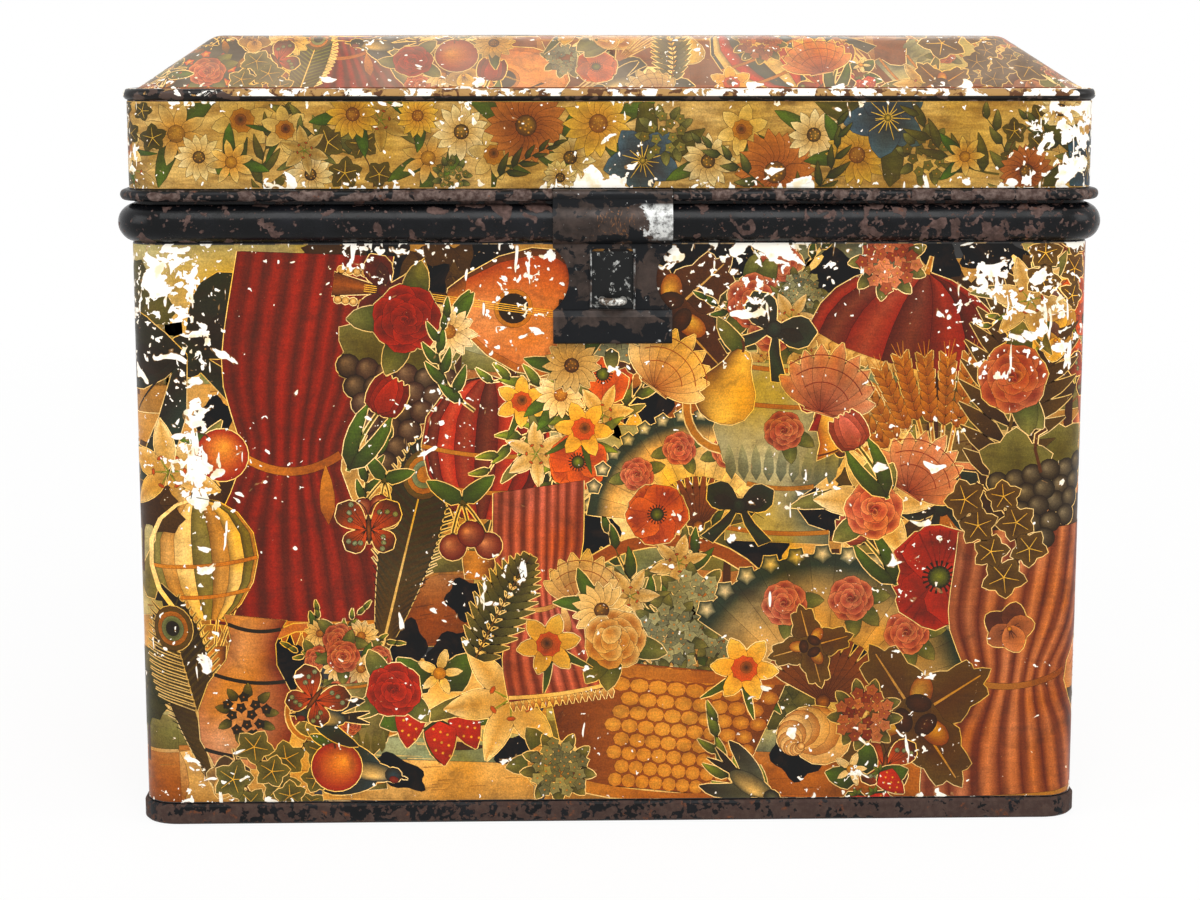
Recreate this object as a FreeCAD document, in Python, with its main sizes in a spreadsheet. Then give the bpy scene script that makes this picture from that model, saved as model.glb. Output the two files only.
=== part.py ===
import FreeCAD, Part
import math
import os
import Sketcher

# Japanned tin storage box with a hinged hipped lid, a front hasp and two drop handles.
# X runs to the right, Y to the back and Z up, from the middle of the foot of the box. Sizes in mm.

doc = FreeCAD.newDocument("storage_box")
sheet = doc.addObject("Spreadsheet::Sheet", "Sizes")

SIZES = {
    # body shell
    "body_width": 460, "body_depth": 330, "corner_radius": 16, "gauge": 0.6,
    "wall_top": 286.3, "seam_width": 6, "seam_inset": 24, "seam_top_gap": 2,
    # floor and its folded seam around the foot
    "floor_height": 6, "foot_height": 10, "foot_proud": 2.2,
    # collar with its swaged bead, and the neck that the lid closes over
    "bead_height": 18, "bead_proud": 7, "lap_depth": 12, "neck_height": 20, "neck_clearance": 1.5,
    "hem_depth": 6,
    # lid
    "lid_proud": 1, "lid_gap": 1.65, "lid_wire_radius": 2.05, "band_height": 52.2, "curl_slit": 0.4,
    "lip_radius": 2.75, "lip_proud": 2, "lip_slit": 0.05, "lip_seat": 0.2, "ledge": 7.5,
    "slope_run": 33, "slope_rise": 24.5, "hip_radius": 20, "crease_fillet": 12,
    "crown_share": 0.82, "crown_rise": 1,
    # paper covering
    "paper": 0.25, "paper_edge_gap": 0.6, "paper_window_gap": 1, "paper_back_turn": 6,
    # hasp
    "hasp_gauge": 0.9, "hasp_width": 57, "hasp_wire_gap": 0.06, "hasp_bead_gap": 0.8, "hasp_notch_gap": 0.5,
    "hasp_leg_offset": 2.45, "hasp_leg_drop": 1.55, "curl_open_from": 250, "curl_open_to": 310,
    "hasp_wall_gap": 0.5, "hasp_neck_length": 30, "hasp_neck_top_drop": 2.6, "hasp_waist": 41.8,
    "window_width": 20, "window_margin": 0.6, "window_corner": 2, "window_lip": 2.2, "window_lip_inset": 1.2,
    "finger_bar": 16, "finger_fold_radius": 0.65, "finger_lean": 3, "finger_slit": 0.2,
    # staple and its plate
    "staple_plate_width": 34, "staple_plate_height": 41, "staple_plate_gauge": 0.8, "staple_plate_drop": 4.5,
    "staple_wire_radius": 1.8, "staple_half_span": 5, "staple_reach": 5, "staple_window_gap": 2.4,
    "staple_head_radius": 2.9, "staple_head": 1.2,
    # hinges
    "hinge_gauge": 0.9, "hinge_width": 42, "hinge_place_share": 0.565, "hinge_pin_radius": 1.5,
    "hinge_pin_gap": 0.05, "hinge_bead_gap": 0.3, "knuckle_middle": 15, "knuckle_gap": 0.5,
    "leaf_notch_gap": 0.4, "leaf_body_drop": 62, "leaf_lid_rise": 44, "joggle_drop": 8, "joggle_clear": 1.2,
    "pin_head_radius": 2.2, "pin_head": 1, "stop_lip": 5.6, "stop_gauge": 0.9, "opening_angle": 105,
    "hinge_rivet_inset": 8, "hinge_rivet_edge": 7,
    # drop handles
    "handle_wire_radius": 2.5, "handle_height": 205, "handle_wall_gap": 0.7, "handle_half_span": 55,
    "handle_drop": 40, "handle_bend": 8, "clip_offset": 43, "clip_width": 13, "clip_height": 38,
    "clip_gauge": 1, "clip_gap": 0.08, "clip_rivet_inset": 6, "handle_end": 5,
    # rivets
    "rivet_radius": 1.6, "rivet_head_radius": 3.2, "rivet_head": 1.5, "rivet_round": 1.1, "rivet_tail": 1,
}
for row, (name, value) in enumerate(SIZES.items(), 1):
    sheet.set(f"A{row}", name)
    sheet.set(f"B{row}", str(value))
    sheet.setAlias(f"B{row}", name)
doc.recompute()


class Size:
    """A length or number from the sheet, kept with the expression that binds it."""

    def __init__(self, value, text):
        self.value, self.text = float(value), text

    @staticmethod
    def of(x):
        return x if isinstance(x, Size) else Size(x, repr(x))

    def __add__(self, other):
        other = Size.of(other)
        return Size(self.value + other.value, f"({self.text} + {other.text})")

    def __sub__(self, other):
        other = Size.of(other)
        return Size(self.value - other.value, f"({self.text} - {other.text})")

    def __mul__(self, other):
        other = Size.of(other)
        return Size(self.value * other.value, f"({self.text} * {other.text})")

    def __truediv__(self, other):
        other = Size.of(other)
        return Size(self.value / other.value, f"({self.text} / {other.text})")

    def __neg__(self):
        return Size(-self.value, f"(0 - {self.text})")

    def __rsub__(self, other):
        return Size.of(other) - self

    def __float__(self):
        return self.value

    __radd__, __rmul__ = __add__, __mul__


def root(size):
    return Size(math.sqrt(size.value), f"sqrt({size.text})")


def turned(size, angle, wave):
    """size times the sine or cosine of an angle in degrees."""
    value = {"sin": math.sin, "cos": math.cos}[wave](math.radians(angle.value))
    return Size(size.value * value, f"({size.text} * {wave}({angle.text} * 1 deg))")


def chord(radius, offset):
    """Half the chord of a circle at an offset from its centre."""
    return root(radius * radius - offset * offset)


s = {name: Size(value, f"Sizes.{name}") for name, value in SIZES.items()}
ZERO = Size(0, "0")


# Sketching helpers

def new_body(label):
    body = doc.addObject("PartDesign::Body", label)
    body.Label = label
    return body


def new_sketch(body, role, name, offset=ZERO):
    """An empty sketch on one of the body's own planes, moved along the plane's normal."""
    plane = next(f for f in body.Origin.OriginFeatures if f.Role == role)
    sketch = body.newObject("Sketcher::SketchObject", f"{body.Label}_{name}")
    sketch.AttachmentSupport = [(plane, "")]
    sketch.MapMode = "FlatFace"
    sketch.setExpression("AttachmentOffset.Base.z", offset.text)
    return sketch


def tie_one(sketch, geometry, point, kind, axis, size):
    size = Size.of(size)
    if abs(size.value) < 1e-9:
        sketch.addConstraint(Sketcher.Constraint("PointOnObject", geometry, point, axis))
        return
    ends = (-1, 1, geometry, point) if size.value > 0 else (geometry, point, -1, 1)
    number = sketch.addConstraint(Sketcher.Constraint(kind, *ends, abs(size.value)))
    sketch.setExpression(f"Constraints[{number}]", (size if size.value > 0 else -size).text)


def tie(sketch, geometry, point, across, up):
    tie_one(sketch, geometry, point, "DistanceX", -2, across)
    tie_one(sketch, geometry, point, "DistanceY", -1, up)


def flat(point):
    return FreeCAD.Vector(float(point[0]), float(point[1]), 0)


def add_outline(sketch, steps):
    """A closed outline. Each step is (corner,) before a line, or (corner, centre, turn) before an arc."""
    corners = [step[0] for step in steps] + [steps[0][0]]
    pieces = []
    for step, start, end in zip(steps, corners, corners[1:]):
        start, end = flat(start), flat(end)
        if len(step) == 1:
            pieces.append((sketch.addGeometry(Part.LineSegment(start, end)), 1, 2))
            continue
        centre, turn = flat(step[1]), step[2]
        first, last = (start, end) if turn > 0 else (end, start)
        from_angle = math.atan2(first.y - centre.y, first.x - centre.x)
        to_angle = math.atan2(last.y - centre.y, last.x - centre.x)
        while to_angle <= from_angle:
            to_angle += 2 * math.pi
        circle = Part.Circle(centre, FreeCAD.Vector(0, 0, 1), (first - centre).Length)
        piece = sketch.addGeometry(Part.ArcOfCircle(circle, from_angle, to_angle))
        pieces.append((piece, 1, 2) if turn > 0 else (piece, 2, 1))
    for number, (piece, first, last) in enumerate(pieces):
        following = pieces[(number + 1) % len(pieces)]
        sketch.addConstraint(Sketcher.Constraint("Coincident", piece, last, following[0], following[1]))
        tie(sketch, piece, first, *steps[number][0])
        if len(steps[number]) > 1:
            span = flat(corners[number + 1]) - flat(corners[number])
            centre = steps[number][1]
            if abs(span.y) > abs(span.x):
                tie_one(sketch, piece, 3, "DistanceX", -2, centre[0])
            else:
                tie_one(sketch, piece, 3, "DistanceY", -1, centre[1])


def add_circle(sketch, centre, radius):
    circle = sketch.addGeometry(Part.Circle(flat(centre), FreeCAD.Vector(0, 0, 1), float(radius)))
    tie(sketch, circle, 3, *centre)
    number = sketch.addConstraint(Sketcher.Constraint("Radius", circle, float(radius)))
    sketch.setExpression(f"Constraints[{number}]", radius.text)


def rounded(half_x, half_y, radius):
    """A rectangle with rounded corners about the origin, split where it crosses the right-hand axis."""
    in_x, in_y = half_x - radius, half_y - radius
    return [((half_x, ZERO),), ((half_x, in_y), (in_x, in_y), 1), ((in_x, half_y),),
            ((-in_x, half_y), (-in_x, in_y), 1), ((-half_x, in_y),),
            ((-half_x, -in_y), (-in_x, -in_y), 1), ((-in_x, -half_y),),
            ((in_x, -half_y), (in_x, -in_y), 1), ((half_x, -in_y),)]


def rectangle(low_x, low_y, high_x, high_y):
    return [((low_x, low_y),), ((high_x, low_y),), ((high_x, high_y),), ((low_x, high_y),)]


# Feature helpers

def pad(body, sketch, length, middle=False, back=False):
    feature = body.newObject("PartDesign::Pad", sketch.Label + "_pad")
    feature.Profile = sketch
    feature.setExpression("Length", length.text)
    feature.SideType = "Symmetric" if middle else "One side"
    feature.Reversed = back
    sketch.Visibility = False
    return feature


def cut_through(body, sketch, length=None, back=False):
    """Cuts the sketch through the body, both ways, or to a length along the sketch's normal."""
    feature = body.newObject("PartDesign::Pocket", sketch.Label + "_cut")
    feature.Profile = sketch
    if length is None:
        feature.SideType = "Two sides"
        feature.Type = "ThroughAll"
        feature.Type2 = "ThroughAll"
    else:
        feature.setExpression("Length", length.text)
        feature.Reversed = not back
    sketch.Visibility = False
    return feature


def sweep_ring(body, name, steps, path_height):
    """Sweeps a profile, drawn at the right-hand side, around the outline of the body."""
    path = new_sketch(body, "XY_Plane", name + "_path", path_height)
    add_outline(path, rounded(half_w, half_d, s["corner_radius"]))
    profile = new_sketch(body, "XZ_Plane", name + "_profile")
    add_outline(profile, steps)
    doc.recompute()
    ring = body.newObject("PartDesign::AdditivePipe", f"{body.Label}_{name}")
    ring.Profile = profile
    ring.Spine = path
    path.Visibility = profile.Visibility = False
    return ring


def holes(body, name, role, centres, radius, offset=ZERO, length=None, back=False):
    sketch = new_sketch(body, role, name, offset)
    for centre in centres:
        add_circle(sketch, centre, radius)
    doc.recompute()
    return cut_through(body, sketch, length, back)


def rivets(label, role, centres, inner, outer):
    """Rivets along the normal of a plane, from the inner to the outer face of what they hold."""
    body = new_body(label)
    body.AllowCompound = True
    shank = new_sketch(body, role, "shank", inner - s["rivet_tail"])
    head = new_sketch(body, role, "head", outer)
    tail = new_sketch(body, role, "tail", inner - s["rivet_tail"])
    for sketch, radius in ((shank, s["rivet_radius"]), (head, s["rivet_head_radius"]),
                           (tail, s["rivet_head_radius"] - s["rivet_tail"] / 2)):
        for centre in centres:
            add_circle(sketch, centre, radius)
    doc.recompute()
    pad(body, shank, outer - inner + s["rivet_tail"] + s["rivet_head"] / 2)
    pad(body, tail, s["rivet_tail"])
    domed = pad(body, head, s["rivet_head"])
    doc.recompute()
    away = {"XY_Plane": (0, 0, 1), "XZ_Plane": (0, -1, 0), "YZ_Plane": (1, 0, 0)}[role]
    away = FreeCAD.Vector(*away)
    far = max(vertex.Point.dot(away) for vertex in domed.Shape.Vertexes)
    rims = [f"Edge{number}" for number, edge in enumerate(domed.Shape.Edges, 1)
            if edge.Curve.TypeId == "Part::GeomCircle" and abs(edge.CenterOfMass.dot(away) - far) < 1e-6]
    fillet = body.newObject("PartDesign::Fillet", label + "_dome")
    fillet.Base = (domed, rims)
    fillet.setExpression("Radius", s["rivet_round"].text)
    return body


g = s["gauge"]
half_w, half_d = s["body_width"] / 2, s["body_depth"] / 2
radius = s["corner_radius"]
cut_start, cut_depth = g * 2, g * 6  # a cut begins inside the sheet and runs out past everything on it

# Body sheets: a wrap makes the front and both ends, and the back sheet hooks into it with two grooved seams

seam_x = half_w - s["seam_inset"]
seam_in = seam_x - s["seam_width"]


def around(offset, backwards=False):
    """The wrap's plan line at an offset from the outer face, from the right-hand seam to the left one."""
    out_x, out_y, in_x, in_y = half_w + offset, half_d + offset, half_w - radius, half_d - radius
    line = [((in_x, out_y), (in_x, in_y), -1), ((out_x, in_y),), ((out_x, -in_y), (in_x, -in_y), -1),
            ((in_x, -out_y),), ((-in_x, -out_y), (-in_x, -in_y), -1), ((-out_x, -in_y),),
            ((-out_x, in_y), (-in_x, in_y), -1), ((-in_x, out_y),)]
    if not backwards:
        return line
    steps = []
    for step, before in zip(line[:0:-1], line[-2::-1]):
        steps.append((step[0],) if len(before) == 1 else (step[0], before[1], -before[2]))
    return steps + [(line[0][0],)]


body_wrap = new_body("body_front_wrap")
wrap_plan = new_sketch(body_wrap, "XY_Plane", "plan", g)
add_outline(wrap_plan, [((seam_x, half_d),)] + around(ZERO) + [((-seam_x, half_d),), ((-seam_x, half_d - g),)]
            + around(-g, backwards=True) + [((seam_x, half_d - g),)])
doc.recompute()
pad(body_wrap, wrap_plan, s["wall_top"] - g)

seam_low = s["foot_height"] + s["seam_top_gap"]
seam_long = s["wall_top"] - s["seam_top_gap"] - seam_low
layer = [half_d + g * (count - 1) for count in range(5)]


def wrap_hook(side):
    """The wrap's half of a grooved seam: up, over the back sheet's leg and back under it."""
    near, far = seam_x, seam_in
    return [((side * (near + g), layer[1]),), ((side * (near + g), layer[4]),), ((side * far, layer[4]),),
            ((side * far, layer[1]),), ((side * (near - g), layer[1]),), ((side * (near - g), layer[2]),),
            ((side * (far + g), layer[2]),), ((side * (far + g), layer[3]),), ((side * near, layer[3]),),
            ((side * near, layer[1]),)]


def back_hook(side):
    """The back sheet's half: its edge folds up and over the wrap's return leg."""
    near, far = seam_x, seam_in
    return [((side * near, layer[1]),), ((side * near, layer[3]),),
            ((side * (far + g), layer[3]),), ((side * (far + g), layer[2]),),
            ((side * (near - g), layer[2]),), ((side * (near - g), layer[1]),)]


hooks = new_sketch(body_wrap, "XY_Plane", "hooks", seam_low)
for side in (1, -1):
    add_outline(hooks, wrap_hook(side))
doc.recompute()
pad(body_wrap, hooks, seam_long)

body_back = new_body("body_back_sheet")
back_plan = new_sketch(body_back, "XY_Plane", "plan", g)
add_outline(back_plan, rectangle(-seam_x, half_d - g, seam_x, half_d))
doc.recompute()
pad(body_back, back_plan, s["wall_top"] - g)
hooks = new_sketch(body_back, "XY_Plane", "hooks", seam_low)
for side in (1, -1):
    add_outline(hooks, back_hook(side))
doc.recompute()
pad(body_back, hooks, seam_long)

# Floor: a pan pushed in from below, its edge folded around the foot of the walls

floor = new_body("body_floor_pan")
wall_in = half_w - g
foot_out = half_w + s["foot_proud"]
foot_bevel, foot_top = s["foot_proud"] / 2, s["foot_height"]
sweep_ring(floor, "seam", [
    ((wall_in - g, ZERO),), ((foot_out - foot_bevel, ZERO),), ((foot_out, foot_bevel),),
    ((foot_out, foot_top - foot_bevel),), ((foot_out - foot_bevel, foot_top),),
    ((half_w, foot_top),), ((half_w, g),), ((wall_in, g),),
    ((wall_in, s["floor_height"] + g),), ((wall_in - g, s["floor_height"] + g),)], g)
panel = new_sketch(floor, "XY_Plane", "panel", s["floor_height"])
add_outline(panel, rounded(wall_in - g / 2, half_d - g - g / 2, radius - g - g / 2))
doc.recompute()
pad(floor, panel, g)

# Collar: soldered inside the walls, swaged out into the bead, then up as the neck with a folded hem

bead_low = s["wall_top"]
bead_top = bead_low + s["bead_height"]
bead_mid = bead_low + s["bead_height"] / 2
half_bead = s["bead_height"] / 2
bead_radius = (half_bead * half_bead + s["bead_proud"] * s["bead_proud"]) / (s["bead_proud"] * 2)
bead_x = half_w + s["bead_proud"] - bead_radius
inside_cut = bead_x + chord(bead_radius - g, half_bead - g)
lid_out_x = half_w + s["lid_proud"]
neck_x = lid_out_x - g - s["neck_clearance"]
neck_top = bead_top + s["neck_height"]

collar = new_body("rim_collar")
sweep_ring(collar, "sheet", [
    ((wall_in, bead_low - s["lap_depth"]),), ((wall_in, bead_low),),
    ((half_w, bead_low), (bead_x, bead_mid), 1), ((half_w, bead_top),),
    ((neck_x, bead_top),), ((neck_x, neck_top),),
    ((neck_x - g * 2, neck_top),), ((neck_x - g * 2, neck_top - s["hem_depth"]),),
    ((neck_x - g, neck_top - s["hem_depth"]),), ((neck_x - g, bead_top - g),),
    ((inside_cut, bead_top - g), (bead_x, bead_mid), -1), ((inside_cut, bead_low + g),),
    ((wall_in - g, bead_low + g),), ((wall_in - g, bead_low - s["lap_depth"]),)], bead_mid)

# Lid band: a sheet ring whose lower edge is curled around a wire

wire_r = s["lid_wire_radius"]
curl_r = wire_r + g
wire_z = bead_top + s["lid_gap"] + curl_r
wire_x = lid_out_x + wire_r
wire_y = half_d + wire_x - half_w
band_top = wire_z - curl_r + s["band_height"]
band_edge = band_top - s["lip_seat"]
lift = chord(wire_r, wire_r - s["curl_slit"])
outer_lift = chord(curl_r, wire_r - s["curl_slit"])

band = new_body("lid_band")
sweep_ring(band, "sheet", [
    ((lid_out_x - g, wire_z), (wire_x, wire_z), 1),
    ((lid_out_x + s["curl_slit"], wire_z + outer_lift),),
    ((lid_out_x + s["curl_slit"], wire_z + lift), (wire_x, wire_z), -1),
    ((lid_out_x, wire_z),), ((lid_out_x, band_edge),), ((lid_out_x - g, band_edge),)], wire_z)
notch_half = s["hasp_width"] / 2 + s["hasp_notch_gap"]
hasp_curl_r = wire_r + s["hasp_wire_gap"] + s["hasp_gauge"]
front_out = half_d + s["lid_proud"]
notch_top = wire_z + hasp_curl_r + s["hasp_notch_gap"]
notch = new_sketch(band, "XZ_Plane", "hasp_notch", front_out - cut_start)
add_outline(notch, rectangle(-notch_half, wire_z - curl_r * 2, notch_half, notch_top))
doc.recompute()
cut_through(band, notch, cut_start + curl_r * 3)

wire = new_body("lid_edge_wire")
path = new_sketch(wire, "XY_Plane", "path", wire_z)
add_outline(path, rounded(wire_x, wire_y, radius + wire_x - half_w))
section = new_sketch(wire, "XZ_Plane", "section")
add_circle(section, (wire_x, wire_z), wire_r)
doc.recompute()
ring = wire.newObject("PartDesign::AdditivePipe", "lid_edge_wire_sweep")
ring.Profile = section
ring.Spine = path
path.Visibility = section.Visibility = False

# Lid top: a pressed hipped panel whose edge is rolled down over the top of the band

slope = root(s["slope_run"] * s["slope_run"] + s["slope_rise"] * s["slope_rise"])
lip_x = lid_out_x + s["lip_proud"] - s["lip_radius"]
lip_z = band_top + g - s["lip_radius"]
lip_cut = lid_out_x + s["lip_slit"]
foot_in = lid_out_x + s["lip_proud"] - s["ledge"] - half_w
crown_run = (half_d + foot_in - s["slope_run"]) * s["crown_share"]


def half_section(half, offset):
    """One side of the lid's section, at an offset: foot of the slope, crease and edge of the crown."""
    foot, crease = foot_in, band_top + g + s["slope_rise"]
    slant = offset / s["slope_rise"]
    at_crease = half + foot - s["slope_run"] + slant * (slope - s["slope_run"])
    return [(half + foot + slant * slope, band_top + g), (at_crease, crease + offset),
            (at_crease - crown_run, crease + offset + s["crown_rise"])]


def soften(body, name, feature, chosen, size):
    """Rounds the edges of a feature that are chosen by the heights of their two ends."""
    edges = []
    for count, edge in enumerate(feature.Shape.Edges, 1):
        heights = [vertex.Z for vertex in edge.Vertexes]
        if chosen(min(heights), max(heights)):
            edges.append(f"Edge{count}")
    fillet = body.newObject("PartDesign::Fillet", f"{body.Label}_{name}")
    fillet.Base = (feature, edges)
    fillet.setExpression("Radius", size.text)
    doc.recompute()
    return fillet


def hipped_block(body, offset):
    """A solid hipped lid: one section run across the lid, its ends cut to the other, hips and creases rounded."""
    across, along = half_section(half_d, offset), half_section(half_w, offset)
    section = new_sketch(body, "YZ_Plane", "front_to_back")
    add_outline(section, [(point,) for point in across] + [((-y, z),) for y, z in reversed(across)])
    doc.recompute()
    pad(body, section, along[0][0] * 2, middle=True)
    ends = new_sketch(body, "XZ_Plane", "end_to_end")
    (foot_x, foot_z), crease, (crown_x, crown_z) = along
    above = crown_z + s["crown_rise"]
    for side in (1, -1):
        add_outline(ends, [((side * x, z),) for x, z in (
            (foot_x, foot_z), (foot_x, above), (crown_x, above), (crown_x, crown_z), crease)])
    doc.recompute()
    block = cut_through(body, ends)
    doc.recompute()
    foot, edge, half_rise = foot_z.value, crease[1].value, s["crown_rise"].value / 2
    near = half_rise / 1000
    hips = soften(body, "soft_hips", block, lambda low, high: abs(low - foot) < near and abs(high - edge) < near,
                  s["hip_radius"] + offset)
    soften(body, "soft_creases", hips, lambda low, high: low > edge - near and high < edge + half_rise,
           s["crease_fillet"] + offset)


def hipped_shell(body, offset, wall):
    """A hipped tray turned upside down: a block less a smaller one."""
    hipped_block(body, offset)
    hollow = new_body(body.Label + "_hollow")
    hipped_block(hollow, offset - wall)
    shell = body.newObject("PartDesign::Boolean", body.Label + "_shell")
    shell.Type = "Cut"
    shell.setObjects([hollow])
    doc.recompute()


lid_top = new_body("lid_top_panel")
hipped_shell(lid_top, ZERO, g)
ledge_in = half_w + foot_in - g * slope / s["slope_rise"]
sweep_ring(lid_top, "lip", [
    ((ledge_in, band_top),), ((lip_x, band_top), (lip_x, lip_z), -1),
    ((lip_cut, lip_z - chord(s["lip_radius"] - g, lip_cut - lip_x)),),
    ((lip_cut, lip_z - chord(s["lip_radius"], lip_cut - lip_x)), (lip_x, lip_z), 1),
    ((lip_x, band_top + g),), ((ledge_in, band_top + g),)], band_top)

# Paper covering: around the front and ends of the body, around the lid band, and over the hipped top

paper = s["paper"]


def paper_wrap(label, outer, low, high):
    """Paper around the front, both ends and a little of the back, on a face at an offset from the body."""
    body = new_body(label)
    turn_x = half_w - radius - s["paper_back_turn"]
    plan = new_sketch(body, "XY_Plane", "plan", low)
    add_outline(plan, [((turn_x, half_d + outer + paper),)] + around(outer + paper)
                + [((-turn_x, half_d + outer + paper),), ((-turn_x, half_d + outer),)]
                + around(outer, backwards=True) + [((turn_x, half_d + outer),)])
    doc.recompute()
    pad(body, plan, high - low)
    return body


body_paper = paper_wrap("body_paper", ZERO, s["foot_height"] + s["paper_edge_gap"],
                        s["wall_top"] - s["paper_edge_gap"])
lip_low = lip_z - chord(s["lip_radius"], lip_cut - lip_x)
band_paper = paper_wrap("lid_band_paper", s["lid_proud"], wire_z + curl_r + s["paper_edge_gap"],
                        lip_low - s["paper_edge_gap"])
notch = new_sketch(band_paper, "XZ_Plane", "hasp_notch", front_out - g)
add_outline(notch, rectangle(-notch_half, wire_z, notch_half, notch_top))
doc.recompute()
cut_through(band_paper, notch, cut_depth)
top_paper = new_body("lid_top_paper")
hipped_shell(top_paper, paper, paper)

# Hasp: curled around the lid wire, bulged over the bead, waisted, with a window and a folded finger bar

t = s["hasp_gauge"]
hasp = new_body("hasp_plate")
bead_y = half_d + s["bead_proud"] - bead_radius
in_r = wire_r + s["hasp_wire_gap"]


def on_curl(distance, angle):
    return (-wire_y + turned(distance, angle, "cos"), wire_z + turned(distance, angle, "sin"))


curl = new_sketch(hasp, "YZ_Plane", "curl")
hub = (-wire_y, wire_z)
open_from, open_to = s["curl_open_from"], s["curl_open_to"]
add_outline(curl, [(on_curl(hasp_curl_r, open_to), hub, 1), (on_curl(hasp_curl_r, open_from),),
                   (on_curl(in_r, open_from), hub, -1), (on_curl(in_r, open_to),)])
leg_out, leg_in = wire_y + s["hasp_leg_offset"], wire_y + s["hasp_leg_offset"] - t
cover_in = bead_radius + s["hasp_bead_gap"]
cover_out = cover_in + t
plate_back = half_d + s["staple_plate_gauge"] + s["hasp_wall_gap"]
plate_front = plate_back + t
bar_top = bead_low - s["hasp_neck_top_drop"] - s["hasp_neck_length"]
fold = s["finger_fold_radius"]
fold_z = bar_top - s["finger_bar"] + fold + t
flap_in = plate_front + fold * 2
strip = new_sketch(hasp, "YZ_Plane", "strip")
add_outline(strip, [
    ((-leg_out, wire_z - s["hasp_leg_drop"]),),
    ((-leg_out, bead_mid + chord(cover_out, leg_out - bead_y)), (-bead_y, bead_mid), 1),
    ((-plate_front, bead_mid - chord(cover_out, plate_front - bead_y)),),
    ((-plate_front, fold_z), (-plate_front - fold, fold_z), -1), ((-flap_in, fold_z),),
    ((-flap_in, bar_top - s["finger_lean"]),), ((-plate_front - s["finger_slit"], bar_top),),
    ((-plate_front - s["finger_slit"] - t, bar_top),), ((-flap_in - t, bar_top - s["finger_lean"]),),
    ((-flap_in - t, fold_z), (-plate_front - fold, fold_z), 1), ((-plate_back, fold_z),),
    ((-plate_back, bead_mid - chord(cover_in, plate_back - bead_y)), (-bead_y, bead_mid), -1),
    ((-leg_in, bead_mid + chord(cover_in, leg_in - bead_y)),), ((-leg_in, wire_z - s["hasp_leg_drop"]),)])
doc.recompute()
pad(hasp, strip, s["hasp_width"], middle=True)
pad(hasp, curl, s["hasp_width"], middle=True)
half_neck = s["hasp_neck_length"] / 2
waist_in = (s["hasp_width"] - s["hasp_waist"]) / 2
waist_r = (half_neck * half_neck + waist_in * waist_in) / (waist_in * 2)
waist = new_sketch(hasp, "XZ_Plane", "waist")
for side in (1, -1):
    add_circle(waist, (side * (s["hasp_waist"] / 2 + waist_r), bar_top + half_neck), waist_r)
doc.recompute()
cut_through(hasp, waist)
half_window = s["window_width"] / 2
window_low = bar_top + s["window_margin"]
window_top = bead_low - s["hasp_neck_top_drop"] - s["window_margin"]
corner = s["window_corner"]
window = new_sketch(hasp, "XZ_Plane", "window")
round_z = window_top - corner
add_outline(window, [
    ((half_window, window_low),), ((half_window, round_z), (half_window - corner, round_z), 1),
    ((half_window - corner, window_top),),
    ((corner - half_window, window_top), (corner - half_window, round_z), 1),
    ((-half_window, round_z),), ((-half_window, window_low),)])
doc.recompute()
cut_through(hasp, window)
lip_front = plate_front + s["window_lip"]
lip_top = round_z - s["window_lip_inset"]
for name, offset in (("right", half_window), ("left", -half_window - t)):
    lip = new_sketch(hasp, "YZ_Plane", f"window_lip_{name}", offset)
    add_outline(lip, [
        ((-plate_back, window_low + s["window_lip_inset"]),), ((-plate_back, lip_top),),
        ((-plate_front, lip_top), (-plate_front, lip_top - s["window_lip"]), 1),
        ((-lip_front, lip_top - s["window_lip"]),), ((-lip_front, window_low + s["window_lip_inset"]),)])
    doc.recompute()
    pad(hasp, lip, t)

# Staple through its plate and the front wall below the bead, its ends clenched inside

plate = new_body("staple_plate")
plate_top = bead_low - s["staple_plate_drop"]
plate_low = plate_top - s["staple_plate_height"]
half_plate = s["staple_plate_width"] / 2
blank = new_sketch(plate, "XZ_Plane", "blank", half_d)
add_outline(blank, rectangle(-half_plate, plate_low, half_plate, plate_top))
doc.recompute()
pad(plate, blank, s["staple_plate_gauge"])
staple_z = window_low + s["staple_window_gap"] + s["staple_wire_radius"]
staple_legs = [(side * s["staple_half_span"], staple_z) for side in (1, -1)]
for owner in (plate, body_wrap):
    holes(owner, "staple_holes", "XZ_Plane", staple_legs, s["staple_wire_radius"],
          half_d - cut_start, cut_depth)

staple = new_body("hasp_staple")
leg_back = half_d - g - s["staple_head"]
bend_y = half_d + s["staple_reach"]
span = s["staple_half_span"]
path = new_sketch(staple, "XY_Plane", "path", staple_z)
bow = Part.Circle(flat((ZERO, -bend_y)), FreeCAD.Vector(0, 0, 1), span.value)
path.addGeometry([Part.LineSegment(flat((span, -leg_back)), flat((span, -bend_y))),
                  Part.ArcOfCircle(bow, math.pi, 2 * math.pi),
                  Part.LineSegment(flat((-span, -bend_y)), flat((-span, -leg_back)))])
for first, last in (((0, 2), (1, 2)), ((1, 1), (2, 1))):
    path.addConstraint(Sketcher.Constraint("Coincident", *first, *last))
tie(path, 0, 1, span, -leg_back)
tie(path, 0, 2, span, -bend_y)
tie(path, 2, 1, -span, -bend_y)
tie(path, 2, 2, -span, -leg_back)
tie_one(path, 1, 3, "DistanceY", -1, -bend_y)
section = new_sketch(staple, "XZ_Plane", "section", leg_back)
add_circle(section, (span, staple_z), s["staple_wire_radius"])
doc.recompute()
loop = staple.newObject("PartDesign::AdditivePipe", "hasp_staple_loop")
loop.Profile = section
loop.Spine = path
clenched = new_sketch(staple, "XZ_Plane", "clenched_ends", leg_back)
for centre in staple_legs:
    add_circle(clenched, centre, s["staple_head_radius"])
doc.recompute()
pad(staple, clenched, s["staple_head"])
path.Visibility = section.Visibility = False

# Hinges at the back: leaves joggled over the bead and over the lid's edge, curled around a pin

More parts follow.
